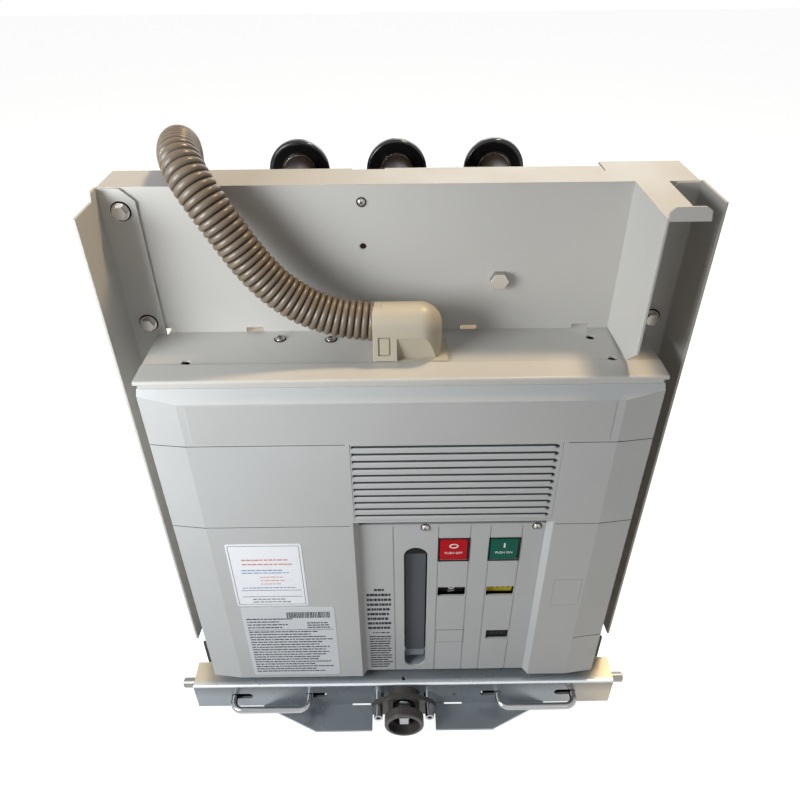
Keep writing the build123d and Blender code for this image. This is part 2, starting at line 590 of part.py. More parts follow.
def charging_lever():
    """Hand lever that swings out of the panel slot about its lower end."""
    pivot_y, pivot_z = LEVER_PIVOT
    x = (SLOT_X[0] + 1.2, SLOT_X[1] - 1.2)
    lever = box(x, (pivot_y - 8, pivot_y + 5), (pivot_z, LEVER_TOP))
    lever = fillet(lever.edges().filter_by(Axis.X).sort_by(Axis.Z)[-2:], 5)
    lever += rod_x(9.0, x, pivot_y, pivot_z)
    lever -= rod_x(5.0 + AXLE_FIT, (x[0] - 1, x[1] + 1), pivot_y, pivot_z)
    return lever


def lever_pin():
    """Pivot pin of the charging lever."""
    pivot_y, pivot_z = LEVER_PIVOT
    return rod_x(5.0, SLOT_X, pivot_y, pivot_z)


# ---- shield, wings, bracket --------------------------------------------------
def shield_plate():
    """Upright plate with a rear top flange, deeper at the right, notches, light gaps and holes."""
    left_end, right_start = SHIELD_SPLIT
    top = (HEIGHT - SHIELD_SHEET, HEIGHT)
    plate = box((-SHIELD_HALF, SHIELD_HALF), (SHIELD_Y, SHIELD_Y + SHIELD_SHEET), (DECK_Z, HEIGHT))
    plate += box((-SHIELD_HALF, left_end), (SHIELD_Y, SHIELD_FLANGE), top)
    plate += box((right_start, SHIELD_HALF), (SHIELD_Y, SHIELD_DEEP_FLANGE), top)
    plate += box((left_end - 1, right_start + 1), (SHIELD_Y, SHIELD_FLANGE - 13), top)
    plate -= box((-40, -12), (SHIELD_FLANGE - 3, SHIELD_FLANGE + 1), (HEIGHT - 5, HEIGHT + 1))
    for x in (-220.0, -136.0, 64.0, 169.0):
        plate -= box((x - 7.8, x + 7.8), (SHIELD_Y - 1, SHIELD_Y + 4), (DECK_Z - 1, DECK_Z + 4.5))
    plate -= rod_y(3.0, (SHIELD_Y - 1, SHIELD_Y + 4), -31.6, HEIGHT - 54.6)
    return plate


def wing(side):
    """Side wing: folded angle down the whole height, its rear flange bolted to the shield."""
    step_z = HEIGHT - WING_STEP
    web_points = [(SHIELD_Y, WING_BOTTOM - 12), (SHIELD_Y, HEIGHT), (84, HEIGHT), (80, step_z),
                  (WING_FRONT, step_z), (WING_FRONT, WING_BOTTOM)]
    if side > 0:
        web_points = [(SHIELD_Y, WING_BOTTOM - 12), (SHIELD_Y, HEIGHT + 1), (WING_FRONT, HEIGHT + 1),
                      (WING_FRONT, WING_BOTTOM)]
    piece = extrude(Pos(BEAM_HALF - WING_SHEET, 0, 0) * side_outline(web_points), WING_SHEET, dir=(1, 0, 0))
    inner = WING_FLANGE_X
    outer = BEAM_HALF - 1
    flange_points = [(inner, WING_BOTTOM), (inner, HEIGHT - 11.2), (inner + 12, HEIGHT - 0.5),
                     (outer, HEIGHT - 0.5), (outer, WING_BOTTOM)]
    flange_face = make_face(Polyline(*[(x, SHIELD_Y, z) for x, z in flange_points], close=True))
    piece += extrude(flange_face, WING_SHEET, dir=(0, -1, 0))
    for z in (150.0, 330.0):
        tie = (z - 12, z + 12)
        piece += box((BOX_HALF, WING_FLANGE_X + 5), (SHIELD_Y - WING_SHEET, SHIELD_Y), tie)
        piece += box((BOX_HALF, BOX_HALF + WING_SHEET), (SHIELD_Y - 26, SHIELD_Y), tie)
    return piece if side > 0 else mirror(piece, about=Plane.YZ)


def duct_bracket():
    """Folded cable guard at the right of the deck: side wall, top plate and upturned front tab."""
    x_low, x_high = BRACKET_X
    sheet = 2.0
    wall_points = [(SHIELD_Y, HEIGHT), (BRACKET_FRONT, HEIGHT), (BRACKET_FRONT, DECK_Z + 21.7), (33, DECK_Z + 4.7),
                   (SHIELD_Y, DECK_Z + 0.7)]
    wall = extrude(Pos(x_low, 0, 0) * side_outline(wall_points), sheet, dir=(1, 0, 0))
    top = box((x_low, x_high), (BRACKET_FRONT, SHIELD_Y), (HEIGHT - sheet, HEIGHT))
    tab_points = [(x_low + 1, HEIGHT - sheet), (x_low + 1, HEIGHT + 5), (x_low + 5, HEIGHT + 9),
                  (x_high - 1, HEIGHT + 9), (x_high + 4, HEIGHT + 6), (x_high + 5, HEIGHT - sheet)]
    tab = make_face(Polyline(*[(x, BRACKET_FRONT, z) for x, z in tab_points], close=True))
    return wall + top + extrude(tab, sheet, dir=(0, 1, 0))


# ---- poles -------------------------------------------------------------------
def pole_shell(x):
    """Cast-resin pole: open tube on a mounting flange, two arm bosses and sheds between them."""
    centre = sum(POLE_Z) / 2
    tube = rod_z(POLE_R, POLE_Z, x, POLE_Y)
    tube += box((x - 58, x + 58), (BOX_REAR, BOX_REAR + 12), (POLE_Z[0], POLE_Z[1] - 60))
    tube += box((x - 40, x + 40), (BOX_REAR + 10, POLE_Y - 30), (POLE_Z[0], POLE_Z[1] - 60))
    for z in ARM_Z:
        tube += rod_y(BOSS_R, (POLE_Y, BOSS_END), x, z)
    for index in range(3):
        z = centre + 38 + (index - 1) * 34
        tube += rod_z(POLE_R + SHED_REACH, (z - 3, z + 3), x, POLE_Y)
    tube -= rod_z(POLE_R - POLE_WALL, (POLE_Z[0] - 1, POLE_Z[1] + 1), x, POLE_Y)
    for z in ARM_Z:
        tube -= rod_y(WINDOW_R, (POLE_Y, BOSS_END + 1), x, z)
    tube -= box((x - 16, x + 16), (BOX_REAR - 1, POLE_Y), (SHAFT_Z - 28, SHAFT_Z + 28))
    return tube


def interrupter(x):
    """Vacuum interrupter: ceramic bottle with metal end caps and a bore for the moving stem."""
    low, high = BOTTLE_Z
    bottle = rod_z(BOTTLE_R, (low + 12, high - 12), x, POLE_Y)
    bottle += rod_z(BOTTLE_R - 6, (low, high), x, POLE_Y)
    bottle += rod_z(BOTTLE_R + 2.5, (low + 70, low + 80), x, POLE_Y)
    bottle -= rod_z(STEM_R + STEM_FIT, (low - 1, low + 71), x, POLE_Y)
    bottle -= rod_z(22, (low + 60, low + 66 + CONTACT_GAP + RUNNING), x, POLE_Y)
    return bottle


def upper_terminal(x):
    """Copper bracket from the interrupter's fixed end to the upper arm."""
    z = ARM_Z[1]
    block = box((x - 24, x + 24), (POLE_Y - 24, ARM_START), (BOTTLE_Z[1], BOTTLE_Z[1] + 14))
    block += box((x - 24, x + 24), (ARM_START - 14, ARM_START), (BOTTLE_Z[1], z + 22))
    return block


def lower_terminal(x):
    """Copper clamp round the moving stem, joined to the lower arm."""
    z = ARM_Z[0]
    block = box((x - 24, x + 24), (POLE_Y - 26, ARM_START), (z - 12, z + 12))
    block += box((x - 24, x + 24), (ARM_START - 14, ARM_START), (z - 22, z + 22))
    block -= rod_z(STEM_R + RUNNING, (z - 30, z + 30), x, POLE_Y)
    return block


def contact_arm(x, z):
    """Arm bar with its contact seat at the rear."""
    arm = rod_y(ARM_R, (ARM_START, TULIP_START - 2), x, z)
    arm += rod_y(CONTACT_R - 0.1, (TULIP_START - 2, ARM_TIP_Y), x, z)
    arm -= rod_y(9.0, (ARM_TIP_Y - 16, ARM_TIP_Y + 1), x, z)
    return arm


def arm_sleeve(x, z):
    """Shrunk insulating sleeve on the arm."""
    sleeve = rod_y(SLEEVE_R, (BOSS_END - 20, TULIP_START - 4), x, z)
    sleeve += rod_y(WINDOW_R, (BOSS_END - 18, BOSS_END - 4), x, z)
    return sleeve - rod_y(ARM_R, (BOSS_END - 30, TULIP_START), x, z)


def tulip_fingers(x, z):
    """Ring of contact fingers, each relieved between its seat and its contact line."""
    profile = [(CONTACT_R, TULIP_START + 4), (CONTACT_R, TULIP_START + 12), (CONTACT_R + 4, TULIP_START + 17),
               (CONTACT_R + 4, CONTACT_END - 15), (CONTACT_R, CONTACT_END - 11), (CONTACT_R, CONTACT_END - 3),
               (CONTACT_R + 3, CONTACT_END), (FINGER_R - 1.5, CONTACT_END), (FINGER_R, CONTACT_END - 1.5),
               (FINGER_R, TULIP_START + 4)]
    arc = 360 / FINGERS * FINGER_SHARE
    face = make_face(Polyline(*[(radius, y, 0) for radius, y in profile], close=True))
    finger = revolve(face, Axis.Y, revolution_arc=arc)
    return [Pos(x, 0, z) * Rot(0, index * 360 / FINGERS, 0) * finger for index in range(FINGERS)]


def tulip_cage(x, z):
    """Bell-shaped shroud round the fingers: dished front, rounded rim and a skirt tapering to the rear."""
    skirt = FINGER_R + 0.05
    rim_rear = BELL_FRONT + 11
    profile = [(CONTACT_R + 0.5, BELL_FRONT + 5), (CONTACT_R + 3, BELL_FRONT + 5), (TULIP_R - 6, BELL_FRONT),
               (TULIP_R, BELL_FRONT), (TULIP_R, rim_rear), (skirt + 2.8, BELL_REAR), (skirt, BELL_REAR),
               (skirt, TULIP_START + 3), (CONTACT_R + 0.5, TULIP_START + 3)]
    bell = revolve(make_face(Polyline(*[(radius, y, 0) for radius, y in profile], close=True)), Axis.Y)
    rims = bell.edges().filter_by(GeomType.CIRCLE)
    bell = fillet([edge for edge in rims if abs(edge.radius - TULIP_R) < 0.01], 4.5)
    return Pos(x, 0, z) * bell


# ---- drive -------------------------------------------------------------------
def drive_rod(x):
    """Insulating push rod with the moving stem above and a clevis below."""
    rod = rod_z(16, (ROD_PIN_Z + 22, 232), x, POLE_Y)
    rod += rod_z(STEM_R, (230, BOTTLE_Z[0] + 60 - 0.5), x, POLE_Y)
    rod += rod_z(20, (BOTTLE_Z[0] + 60.5, BOTTLE_Z[0] + 66), x, POLE_Y) + \
        rod_z(STEM_R - 1, (BOTTLE_Z[0] + 58, BOTTLE_Z[0] + 62), x, POLE_Y)
    fork = box((x - 13, x + 13), (POLE_Y - 10, POLE_Y + 10), (ROD_PIN_Z - 10, ROD_PIN_Z + 23))
    fork -= box((x - 7, x + 7), (POLE_Y - 11, POLE_Y + 11), (ROD_PIN_Z - 11, ROD_PIN_Z + 16))
    fork += rod_x(4.0, (x - 13, x + 13), POLE_Y, ROD_PIN_Z)
    return rod + fork


def main_shaft():
    """Main shaft with a lever for each pole, slotted at the rod's pin, and a drive crank."""
    shaft = rod_x(SHAFT_R, (-BOX_HALF + BOX_SHEET + 1, BOX_HALF - BOX_SHEET - 1), SHAFT_Y, SHAFT_Z)
    drop = SHAFT_SWING / 2
    for x in POLE_X:
        lever = box((x - 6, x + 6), (SHAFT_Y, POLE_Y + 9), (SHAFT_Z - 8, SHAFT_Z + 8))
        lever += rod_x(24, (x - 6, x + 6), SHAFT_Y, SHAFT_Z)
        eye = Pos(x, POLE_Y + 0.4, SHAFT_Z) * Rot(0, 90, 0) * Rot(0, 0, 90)
        lever -= eye * extrude(SlotOverall(11.5, 8.9), 10, both=True)
        shaft += Pos(0, SHAFT_Y, SHAFT_Z) * Rot(-drop, 0, 0) * Pos(0, -SHAFT_Y, -SHAFT_Z) * lever
    shaft += box((70, 82), (SHAFT_Y - 8, SHAFT_Y + 8), (SHAFT_Z, SHAFT_Z + 52))
    return shaft


def shaft_bearings():
    """Pillow blocks that carry the main shaft in the box."""
    blocks = []
    for x in (-100.0, 50.0, 112.0):
        block = box((x - 8, x + 8), (SHAFT_Y - 24, BOX_REAR - BOX_SHEET), (BOX_BOTTOM + BOX_SHEET, SHAFT_Z + 24))
        blocks.append(block - rod_x(SHAFT_R + AXLE_FIT, (x - 10, x + 10), SHAFT_Y, SHAFT_Z))
    return blocks


def cam_shaft():
    """Charging shaft with its ratchet wheel and closing cam."""
    shaft = rod_x(CAM_SHAFT_R, (-78, 78), CAM_Y, CAM_Z)
    shaft += rod_x(44, (-64, -54), CAM_Y, CAM_Z)
    cam = extrude(Plane((40, CAM_Y, CAM_Z), x_dir=(0, 1, 0), z_dir=(1, 0, 0)) * (
        Circle(24) + Pos(14, 0) * Circle(20)), 12)
    return shaft + cam


def cam_frame():
    """Two upright plates that carry the charging shaft."""
    plates = []
    for x in (-88.0, 72.0):
        plate = box((x, x + 8), (70, BOX_REAR - BOX_SHEET), (BOX_BOTTOM + BOX_SHEET, 370))
        plate -= box((x - 1, x + 9), (SHAFT_Y - 40, BOX_REAR), (BOX_BOTTOM, SHAFT_Z + 70))
        plates.append(plate - rod_x(CAM_SHAFT_R + AXLE_FIT, (x - 1, x + 9), CAM_Y, CAM_Z))
    return plates


def closing_spring():
    """Closing spring on the left of the mechanism, drawn as its coil's outer form."""
    x, y = -140, 110
    coil = rod_z(26, (150, 400), x, y) - rod_z(19, (156, 394), x, y)
    coil += rod_z(6, (BOX_BOTTOM + BOX_SHEET, 152), x, y) + rod_z(6, (398, 430), x, y)
    return coil + box((-BOX_HALF + BOX_SHEET, x + 8), (y - 10, y + 10), (424, 432))


def charging_motor():
    """Spring-charging motor with its gear head."""
    motor = rod_x(32, (100, 170), 110, 200) + rod_x(18, (170, 188), 110, 200)
    return motor + box((80, 104), (80, 142), (166, 240))


def solenoid_coils():
    """Closing and opening coils."""
    coils = []
    for x in (22.0, 120.0):
        coil = box((x - 16, x + 16), (60, 96), (392, 434)) + rod_z(6, (384, 442), x, 78)
        coils.append(coil + box((x - 20, x + 20), (96, BOX_REAR - BOX_SHEET), (410, 416)))
    return coils


def auxiliary_switch():
    """Stack of auxiliary contacts."""
    right = BOX_HALF - BOX_SHEET
    switch = box((right - 56, right), (60, 150), (270, 330))
    for index in range(6):
        y = 68 + 13 * index
        switch -= box((right - 60, right - 50), (y, y + 4), (275, 325))
    return switch


def operation_counter():
    """Counter behind its window."""
    return box((93.0, 121.0), (PANEL_Y + PANEL_SHEET, 48), (129.0, 149.0))


# ---- cable outlet ------------------------------------------------------------
HOSE_R = 17.2
ELBOW_X = (-24.0, 17.0)
ELBOW_Y = 59.0
ELBOW_Z = 523.5
ELBOW_R = 19.5
LATCH_BLOCK = 21.0
LATCH_X = (-19.3, -8.8)
LATCH_Z = (500.5, 519.0)
HOSE_POINTS = [(-16, 59, 523.5), (-44, 59, 525.5), (-73, 60, 534), (-100, 61, 551), (-121, 63, 574),
               (-138, 66, 601), (-153, 70, 625), (-166, 78, 643), (-175, 92, 654), (-181, 112, 656),
               (-186, 137, 654), (-191, 160, 641), (-195, 171, 617), (-191, 171, 588), (-177, 168, 562),
               (-157, 162, 540), (-131, 157, 523), (-101, 153, 514.4), (-69, 151, 511.6), (-37, 151, 511.2),
               (-5, 151, 511.2), (27, 151.5, 511.2), (59, 152.5, 511.2)]


def cable_elbow():
    """Square-shouldered elbow gland on the deck: latched mouth to the left, rounded bend, base flange."""
    bottom = DECK_Z + 1.6
    front = ELBOW_Y - ELBOW_R
    body = rod_x(ELBOW_R, ELBOW_X, ELBOW_Y, ELBOW_Z - 2)
    body += box(ELBOW_X, (front, ELBOW_Y + ELBOW_R), (bottom, ELBOW_Z - 2))
    body += Pos(ELBOW_X[1], ELBOW_Y, ELBOW_Z - 2) * Sphere(ELBOW_R)
    body += rod_z(ELBOW_R, (bottom, ELBOW_Z - 2), ELBOW_X[1], ELBOW_Y)
    receding = [(front - 9, ELBOW_Z - 6), (front + 0.3, ELBOW_Z - 6), (front + 6, bottom), (front - 9, bottom)]
    seam_x = ELBOW_X[0] + LATCH_BLOCK
    body -= extrude(Pos(seam_x, 0, 0) * side_outline(receding), 60, dir=(1, 0, 0))
    body += box((seam_x - 2.5, ELBOW_X[1] + 25), (front + 0.8, ELBOW_Y + ELBOW_R), (DECK_Z, bottom))
    frame_x, frame_z = LATCH_X, LATCH_Z
    body -= box(frame_x, (front - 1, front + 1.4), frame_z)
    body += box((frame_x[0] + 1.1, frame_x[1] - 0.9), (front + 0.4, front + 2), (frame_z[0] + 1, frame_z[1] - 1.2))
    return body - rod_x(HOSE_R + 0.2, (ELBOW_X[0] - 1, HOSE_POINTS[0][0]), ELBOW_Y, ELBOW_Z)


def hose():
    """Corrugated protective hose, from the elbow over the shield to the plug behind it."""
    route = [Vector(*point) for point in HOSE_POINTS]
    radii = []
    for before, here, after in zip(route, route[1:], route[2:]):
        run = min((here - before).length, (after - here).length)
        turn = (here - before).get_angle(after - here)
        radii.append(0.45 * run / math.tan(math.radians(turn / 2)))
    print("hose radii", [round(radius) for radius in radii])
    path = FilletPolyline(*HOSE_POINTS, radius=radii)
    start = Plane(route[0], z_dir=route[1] - route[0])
    tube = sweep(start * Circle(HOSE_R), path)
    print("hose volume", tube.volume, "expected", math.pi * HOSE_R ** 2 * path.length)
    return tube


def plug():
    """Multi-pin plug body lying on the housing top, its pins facing right."""
    x, y, z = HOSE_POINTS[-1]
    body = box((x, x + 62), (y - 25, y + 25), (DECK_Z, z + 19))
    body = fillet(body.edges().filter_by(Axis.X), 5)
    body += box((x + 62, x + 72), (y - 20, y + 20), (z - 14, z + 14))
    return body


def shield_bolts():
    """Hexagon bolts and washers of the wings and the shield."""
    bolts = []
    seat = SHIELD_Y - WING_SHEET
    for z in (HEIGHT - 19.8, DECK_Z + 12.2):
        bolt = rod_y(7.6, (seat - 1.5, seat), 232.8, z) + hex_y(10.6, (seat - 6.5, seat - 1.5), 232.8, z)
        bolts += both_sides(bolt)
    bolts.append(hex_y(14.4, (SHIELD_Y - 7, SHIELD_Y), 88.9, HEIGHT - 86.8))
    return bolts


def panel_screws():
    """Round-head screws of the panel, the deck and the shield."""
    screws = [rod_y(3.6, (PANEL_Y - 2.2, PANEL_Y), x, PANEL_TOP - 4.5) for x in (22.9, 134.3)]
    screws += [rod_z(4.6, (DECK_Z, DECK_Z + 2.4), x, y) for x, y in ((-111.0, 82.3), (-64.0, 80.5))]
    screws.append(rod_y(3.2, (SHIELD_Y - 2.0, SHIELD_Y), -31.6, HEIGHT - 15))
    return screws


NODES = {
    "truck_floor": truck_floor,
    "truck_side_left": lambda: truck_side(-1),
    "truck_side_right": lambda: truck_side(1),
    "truck_rear_member": truck_rear_member,
    "truck_cross_rails": truck_cross_rails,
    "wheel_axles": wheel_axles,
    "screw_nut": screw_nut,
    "wheel_front_left": lambda: wheel(-1, WHEEL_Y[0]),
    "wheel_front_right": lambda: wheel(1, WHEEL_Y[0]),
    "wheel_rear_left": lambda: wheel(-1, WHEEL_Y[1]),
    "wheel_rear_right": lambda: wheel(1, WHEEL_Y[1]),
    "crossbeam": crossbeam,
    "lock_guides": lock_guides,
    "crank_collar": crank_collar,
    "collar_screws": collar_screws,
    "lead_screw": lead_screw,
    "handle_left": lambda: handle(-1),
    "handle_right": lambda: handle(1),
    "lock_bar_left": lambda: lock_bar(-1),
    "lock_bar_right": lambda: lock_bar(1),
    "housing_shell": housing_shell,
    "housing_deck": housing_deck,
    "front_cover": front_cover,
    "vent_grille": vent_grille,
    "control_panel": control_panel,
    "slot_liner": slot_liner,
    "off_button": lambda: button(OFF_X),
    "on_button": lambda: button(ON_X),
    "button_guides": button_guides,
    "position_indicator": lambda: indicator_drum(OFF_X),
    "spring_indicator": lambda: indicator_drum(ON_X + 0.7),
    "charging_lever": charging_lever,
    "lever_pin": lever_pin,
    "operation_counter": operation_counter,
    "shield_plate": shield_plate,
    "wing_left": lambda: wing(-1),
    "wing_right": lambda: wing(1),
    "duct_bracket": duct_bracket,
    "shield_bolts": shield_bolts,
    "panel_screws": panel_screws,
    "cable_elbow": cable_elbow,
    "hose": hose,
    "plug": plug,
    "poles": lambda: [pole_shell(x) for x in POLE_X],
    "vacuum_interrupters": lambda: [interrupter(x) for x in POLE_X],
    "terminals": lambda: [make(x) for x in POLE_X for make in (upper_terminal, lower_terminal)],
    "contact_arms": lambda: [contact_arm(x, z) for x in POLE_X for z in ARM_Z],
    "arm_sleeves": lambda: [arm_sleeve(x, z) for x in POLE_X for z in ARM_Z],
    "tulip_fingers": lambda: [finger for x in POLE_X for z in ARM_Z for finger in tulip_fingers(x, z)],
    "tulip_cages": lambda: [tulip_cage(x, z) for x in POLE_X for z in ARM_Z],
    "drive_rods": lambda: [drive_rod(x) for x in POLE_X],
    "main_shaft": main_shaft,
    "shaft_bearings": shaft_bearings,
    "cam_shaft": cam_shaft,
    "cam_frame": cam_frame,
    "closing_spring": closing_spring,
    "charging_motor": charging_motor,
    "solenoid_coils": solenoid_coils,
    "auxiliary_switch": auxiliary_switch,
    "indicator_spindle": indicator_spindle,
}

os.makedirs("parts", exist_ok=True)
for node_name, make in NODES.items():
    made = make()
    save(node_name, *(made if isinstance(made, list) else [made]))
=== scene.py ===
"""Withdrawable indoor vacuum circuit breaker: finishes, hose, fascia details and studio."""
import math
import random

import bmesh
import bpy
from bpy.props import FloatProperty, FloatVectorProperty, IntProperty, PointerProperty
from mathutils import Matrix, Vector


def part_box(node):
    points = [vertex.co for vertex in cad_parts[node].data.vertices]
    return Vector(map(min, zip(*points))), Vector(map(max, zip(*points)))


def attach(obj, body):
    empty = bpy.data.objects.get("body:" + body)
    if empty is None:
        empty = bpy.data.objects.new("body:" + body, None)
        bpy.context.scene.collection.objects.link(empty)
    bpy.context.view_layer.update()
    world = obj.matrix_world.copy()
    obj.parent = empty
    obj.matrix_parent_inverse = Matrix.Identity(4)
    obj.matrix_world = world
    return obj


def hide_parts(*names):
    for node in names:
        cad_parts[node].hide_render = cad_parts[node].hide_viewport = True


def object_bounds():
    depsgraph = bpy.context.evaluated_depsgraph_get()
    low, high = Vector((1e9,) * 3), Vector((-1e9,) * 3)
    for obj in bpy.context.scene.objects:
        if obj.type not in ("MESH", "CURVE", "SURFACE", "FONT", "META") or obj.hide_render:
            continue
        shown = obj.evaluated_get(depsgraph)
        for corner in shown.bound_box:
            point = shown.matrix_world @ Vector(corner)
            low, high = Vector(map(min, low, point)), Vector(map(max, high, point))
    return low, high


bl_info = {
    "name": "Vacuum Circuit Breaker Dressing",
    "version": (1, 0, 0),
    "blender": (4, 5, 0),
    "location": "View3D > Sidebar > Breaker",
    "description": "Finishes and small parts of a withdrawable indoor vacuum circuit breaker",
    "category": "Object",
}

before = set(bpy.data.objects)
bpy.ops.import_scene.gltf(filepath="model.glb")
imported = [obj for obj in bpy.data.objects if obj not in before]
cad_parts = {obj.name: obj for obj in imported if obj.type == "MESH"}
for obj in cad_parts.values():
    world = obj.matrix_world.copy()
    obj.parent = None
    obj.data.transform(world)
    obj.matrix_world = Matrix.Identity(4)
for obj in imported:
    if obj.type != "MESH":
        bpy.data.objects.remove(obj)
CAD_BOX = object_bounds()

# Places of the carried-over nodes that the small parts sit on.
COVER_LOW, COVER_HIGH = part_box("front_cover")
GRILLE_LOW, GRILLE_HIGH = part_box("vent_grille")
OFF_LOW, OFF_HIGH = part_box("off_button")
ON_LOW, ON_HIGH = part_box("on_button")
COVER_FACE = COVER_LOW[1]
PANEL_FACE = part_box("control_panel")[0][1]
SHIELD_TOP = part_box("shield_plate")[1][2]

# Route of the hose in metres: the same points as in the part's source, whose zero in depth is the front
# of the crossbeam, this far in front of the middle of the whole part.
ROUTE_BACK = 0.311
HOSE_ROUTE = [
    (-0.016, 0.059, 0.5235), (-0.044, 0.059, 0.5255), (-0.073, 0.060, 0.534), (-0.100, 0.061, 0.551),
    (-0.121, 0.063, 0.574), (-0.138, 0.066, 0.601), (-0.153, 0.070, 0.625), (-0.166, 0.078, 0.643),
    (-0.175, 0.092, 0.654), (-0.181, 0.112, 0.656), (-0.186, 0.137, 0.654), (-0.191, 0.160, 0.641),
    (-0.195, 0.171, 0.617), (-0.191, 0.171, 0.588), (-0.177, 0.168, 0.562), (-0.157, 0.162, 0.540),
    (-0.131, 0.157, 0.523), (-0.101, 0.153, 0.5144), (-0.069, 0.151, 0.5116), (-0.037, 0.151, 0.5112),
    (-0.005, 0.151, 0.5112), (0.027, 0.1515, 0.5112), (0.059, 0.1525, 0.5112),
]


# Depths and heights of faces inside a node's box.
BEAM_FACE = -ROUTE_BACK
BEAM_TOP = 0.0615
DECK_TOP = 0.4933
SHIELD_FACE = 0.0965 - ROUTE_BACK
WASHER_FACE = SHIELD_FACE - 0.0023
DRUM_MIDDLE = (0.044 - ROUTE_BACK, 0.2157)     # depth and height
DRUM_RADIUS = 0.026

# Seams of the cover: the flat front ends at the kink, and the sides slope back from there.
SEAM_HEIGHTS = (0.4295, 0.3265)
RIGHT_SEAM_HEIGHT = 0.1421
SEAM_HALF = 0.0003
SIDE_KINK = 0.192
SIDE_SLOPE = (0.0093 - 0.0048) / (0.225 - SIDE_KINK)

# What is printed or glued on, as lower left and upper right corners in the plane of the front.
INK = 0.0003
NAME_STRIP = ((-0.1855, 0.4328), (0.1845, 0.4742))
PLATES = {
    "instruction_label": ((-0.1775, 0.2064), (-0.1015, 0.3030), "label"),
    "rating_plate": ((-0.1760, 0.0780), (-0.0745, 0.2035), "plate"),
}
LABEL_OUTLINE = ((-0.1755, 0.2090), (-0.1040, 0.3005))
LABEL_LINES = (0.2320, 0.2218)
PLATE_LINE = 0.1640
BAR_FIELD = ((-0.1270, 0.1850), (-0.0800, 0.1950))
SPARE_WINDOW = ((0.0377, 0.1265), (0.0680, 0.1483))
KNOCKOUT = ((0.1590, 0.2010), (0.1885, 0.2430))
WORD_HEIGHT = 0.0030
DIGIT_HEIGHT = 0.0044

# Rows of plain bars: corners, number of rows, seed and thickness of a bar.  Where they differ from the
# usual, the lengths of the bars, the gaps between them and the raggedness of the right edge follow.
USUAL_RUNS = (0.0018, 0.0060)
USUAL_GAPS = (0.0006, 0.0012)
NARROW_GAPS = (0.0004, 0.0008)
LABEL_BLACK_ROWS = (((-0.1600, 0.2110), (-0.1180, 0.2200), 2, 11, 0.0011),)
LABEL_RED_ROWS = (
    ((-0.1640, 0.2700), (-0.1120, 0.2830), 2, 3, 0.0016),
    ((-0.1480, 0.2400), (-0.1200, 0.2560), 3, 4, 0.0010),
)
LABEL_BLUE_ROWS = (
    ((-0.1660, 0.2580), (-0.1080, 0.2660), 2, 6, 0.0012),
    ((-0.1680, 0.2340), (-0.1070, 0.2390), 1, 7, 0.0012),
)
PLATE_FIELD = ((-0.1720, 0.0830), (-0.0780, 0.1630))       # its number of rows is a setting
PLATE_ROWS = (
    ((-0.1720, 0.1660), (-0.1180, 0.1860), 4, 8, 0.0016),
    ((-0.1060, 0.1660), (-0.0780, 0.1780), 3, 9, 0.0016),
)
PANEL_ROWS = (
    ((-0.0312, 0.2160), (-0.0200, 0.2243), 1, 14, 0.0034, (0.0020, 0.0040), NARROW_GAPS, 0.0),
    ((-0.0395, 0.1498), (-0.0120, 0.2160), 8, 9, 0.0040, (0.0020, 0.0050), NARROW_GAPS, 0.12),
    ((-0.0345, 0.1420), (-0.0155, 0.1480), 1, 15, 0.0018, USUAL_RUNS, USUAL_GAPS, 0.0),
    ((-0.0385, 0.0770), (-0.0125, 0.1400), 14, 12, 0.0019, (0.0030, 0.0100), NARROW_GAPS, 0.10),
)

# Round-head screws: place, radius and height.  Bolts: x, z and radius of the painted shadow ring round them.
SCREWS = [((x, PANEL_FACE, 0.3155), 0.0040, 0.0026) for x in (0.0229, 0.1343)]
SCREWS += [((x, y - ROUTE_BACK, DECK_TOP), 0.0048, 0.0028) for x, y in ((-0.111, 0.0823), (-0.064, 0.0805))]
SCREWS.append(((-0.0316, SHIELD_FACE, SHIELD_TOP - 0.015), 0.0034, 0.0022))
HEAD_SKIRT = 0.4               # share of a head's height that is straight-sided
RECESS_TURNS = (35, 125)       # degrees
BOLTS = [(x, z, 0.0086) for x in (-0.2328, 0.2328) for z in (SHIELD_TOP - 0.0198, DECK_TOP + 0.0122)]

LOUVRES = 11
LOUVRE_DEPTH = 0.0038
LOUVRE_SHARE = 0.52            # part of the pitch that slopes
LOUVRE_HOOK = 0.0006           # radius inside the turned-down end
# The dark part is a painted shade on the louvre's slope.
LOUVRE_SHADE_START = 0.30              # where on the slope the dark part begins

HOSE_SIDES = 40
STEPS_PER_RIB = 8
RIB_FULLNESS = 0.55            # below 1 makes the ribs wider than the grooves

# Painted shade behind the lock-bar slots: reach of the black sheets in the beam.
SLOT_SHADE_REACH = (0.0965, 0.2180)  # from and to, on both sides of the middle

# Lamps: place, target, size, power in watts and colour.
LAMPS = {
    "window_lamp": ((-0.64, -0.66, 0.71), (0, -0.15, 0.40), 0.40, 7.6, (0.93, 0.97, 1.0)),
    "ceiling_lamp": ((0.62, 0.34, 2.25), (0, -0.05, 0.45), 0.24, 27, (1.0, 0.77, 0.48)),
    "front_lamp": ((0.3, -1.9, 1.3), (0, -0.2, 0.3), 1.4, 2.8, (0.92, 0.96, 1.0)),
    "rear_lamp": ((0.5, 1.9, 1.2), (0, 0.1, 0.35), 1.2, 8.5, (0.80, 0.92, 1.0)),
}
WORLD_TONE = (0.92, 0.96, 1.0)
WORLD_STRENGTH = 0.10


# ---- node helpers ------------------------------------------------------------
def shaded(tone, share):
    """A tone made darker or lighter, never past white."""
    return tuple(min(1.0, value * share) for value in tone)


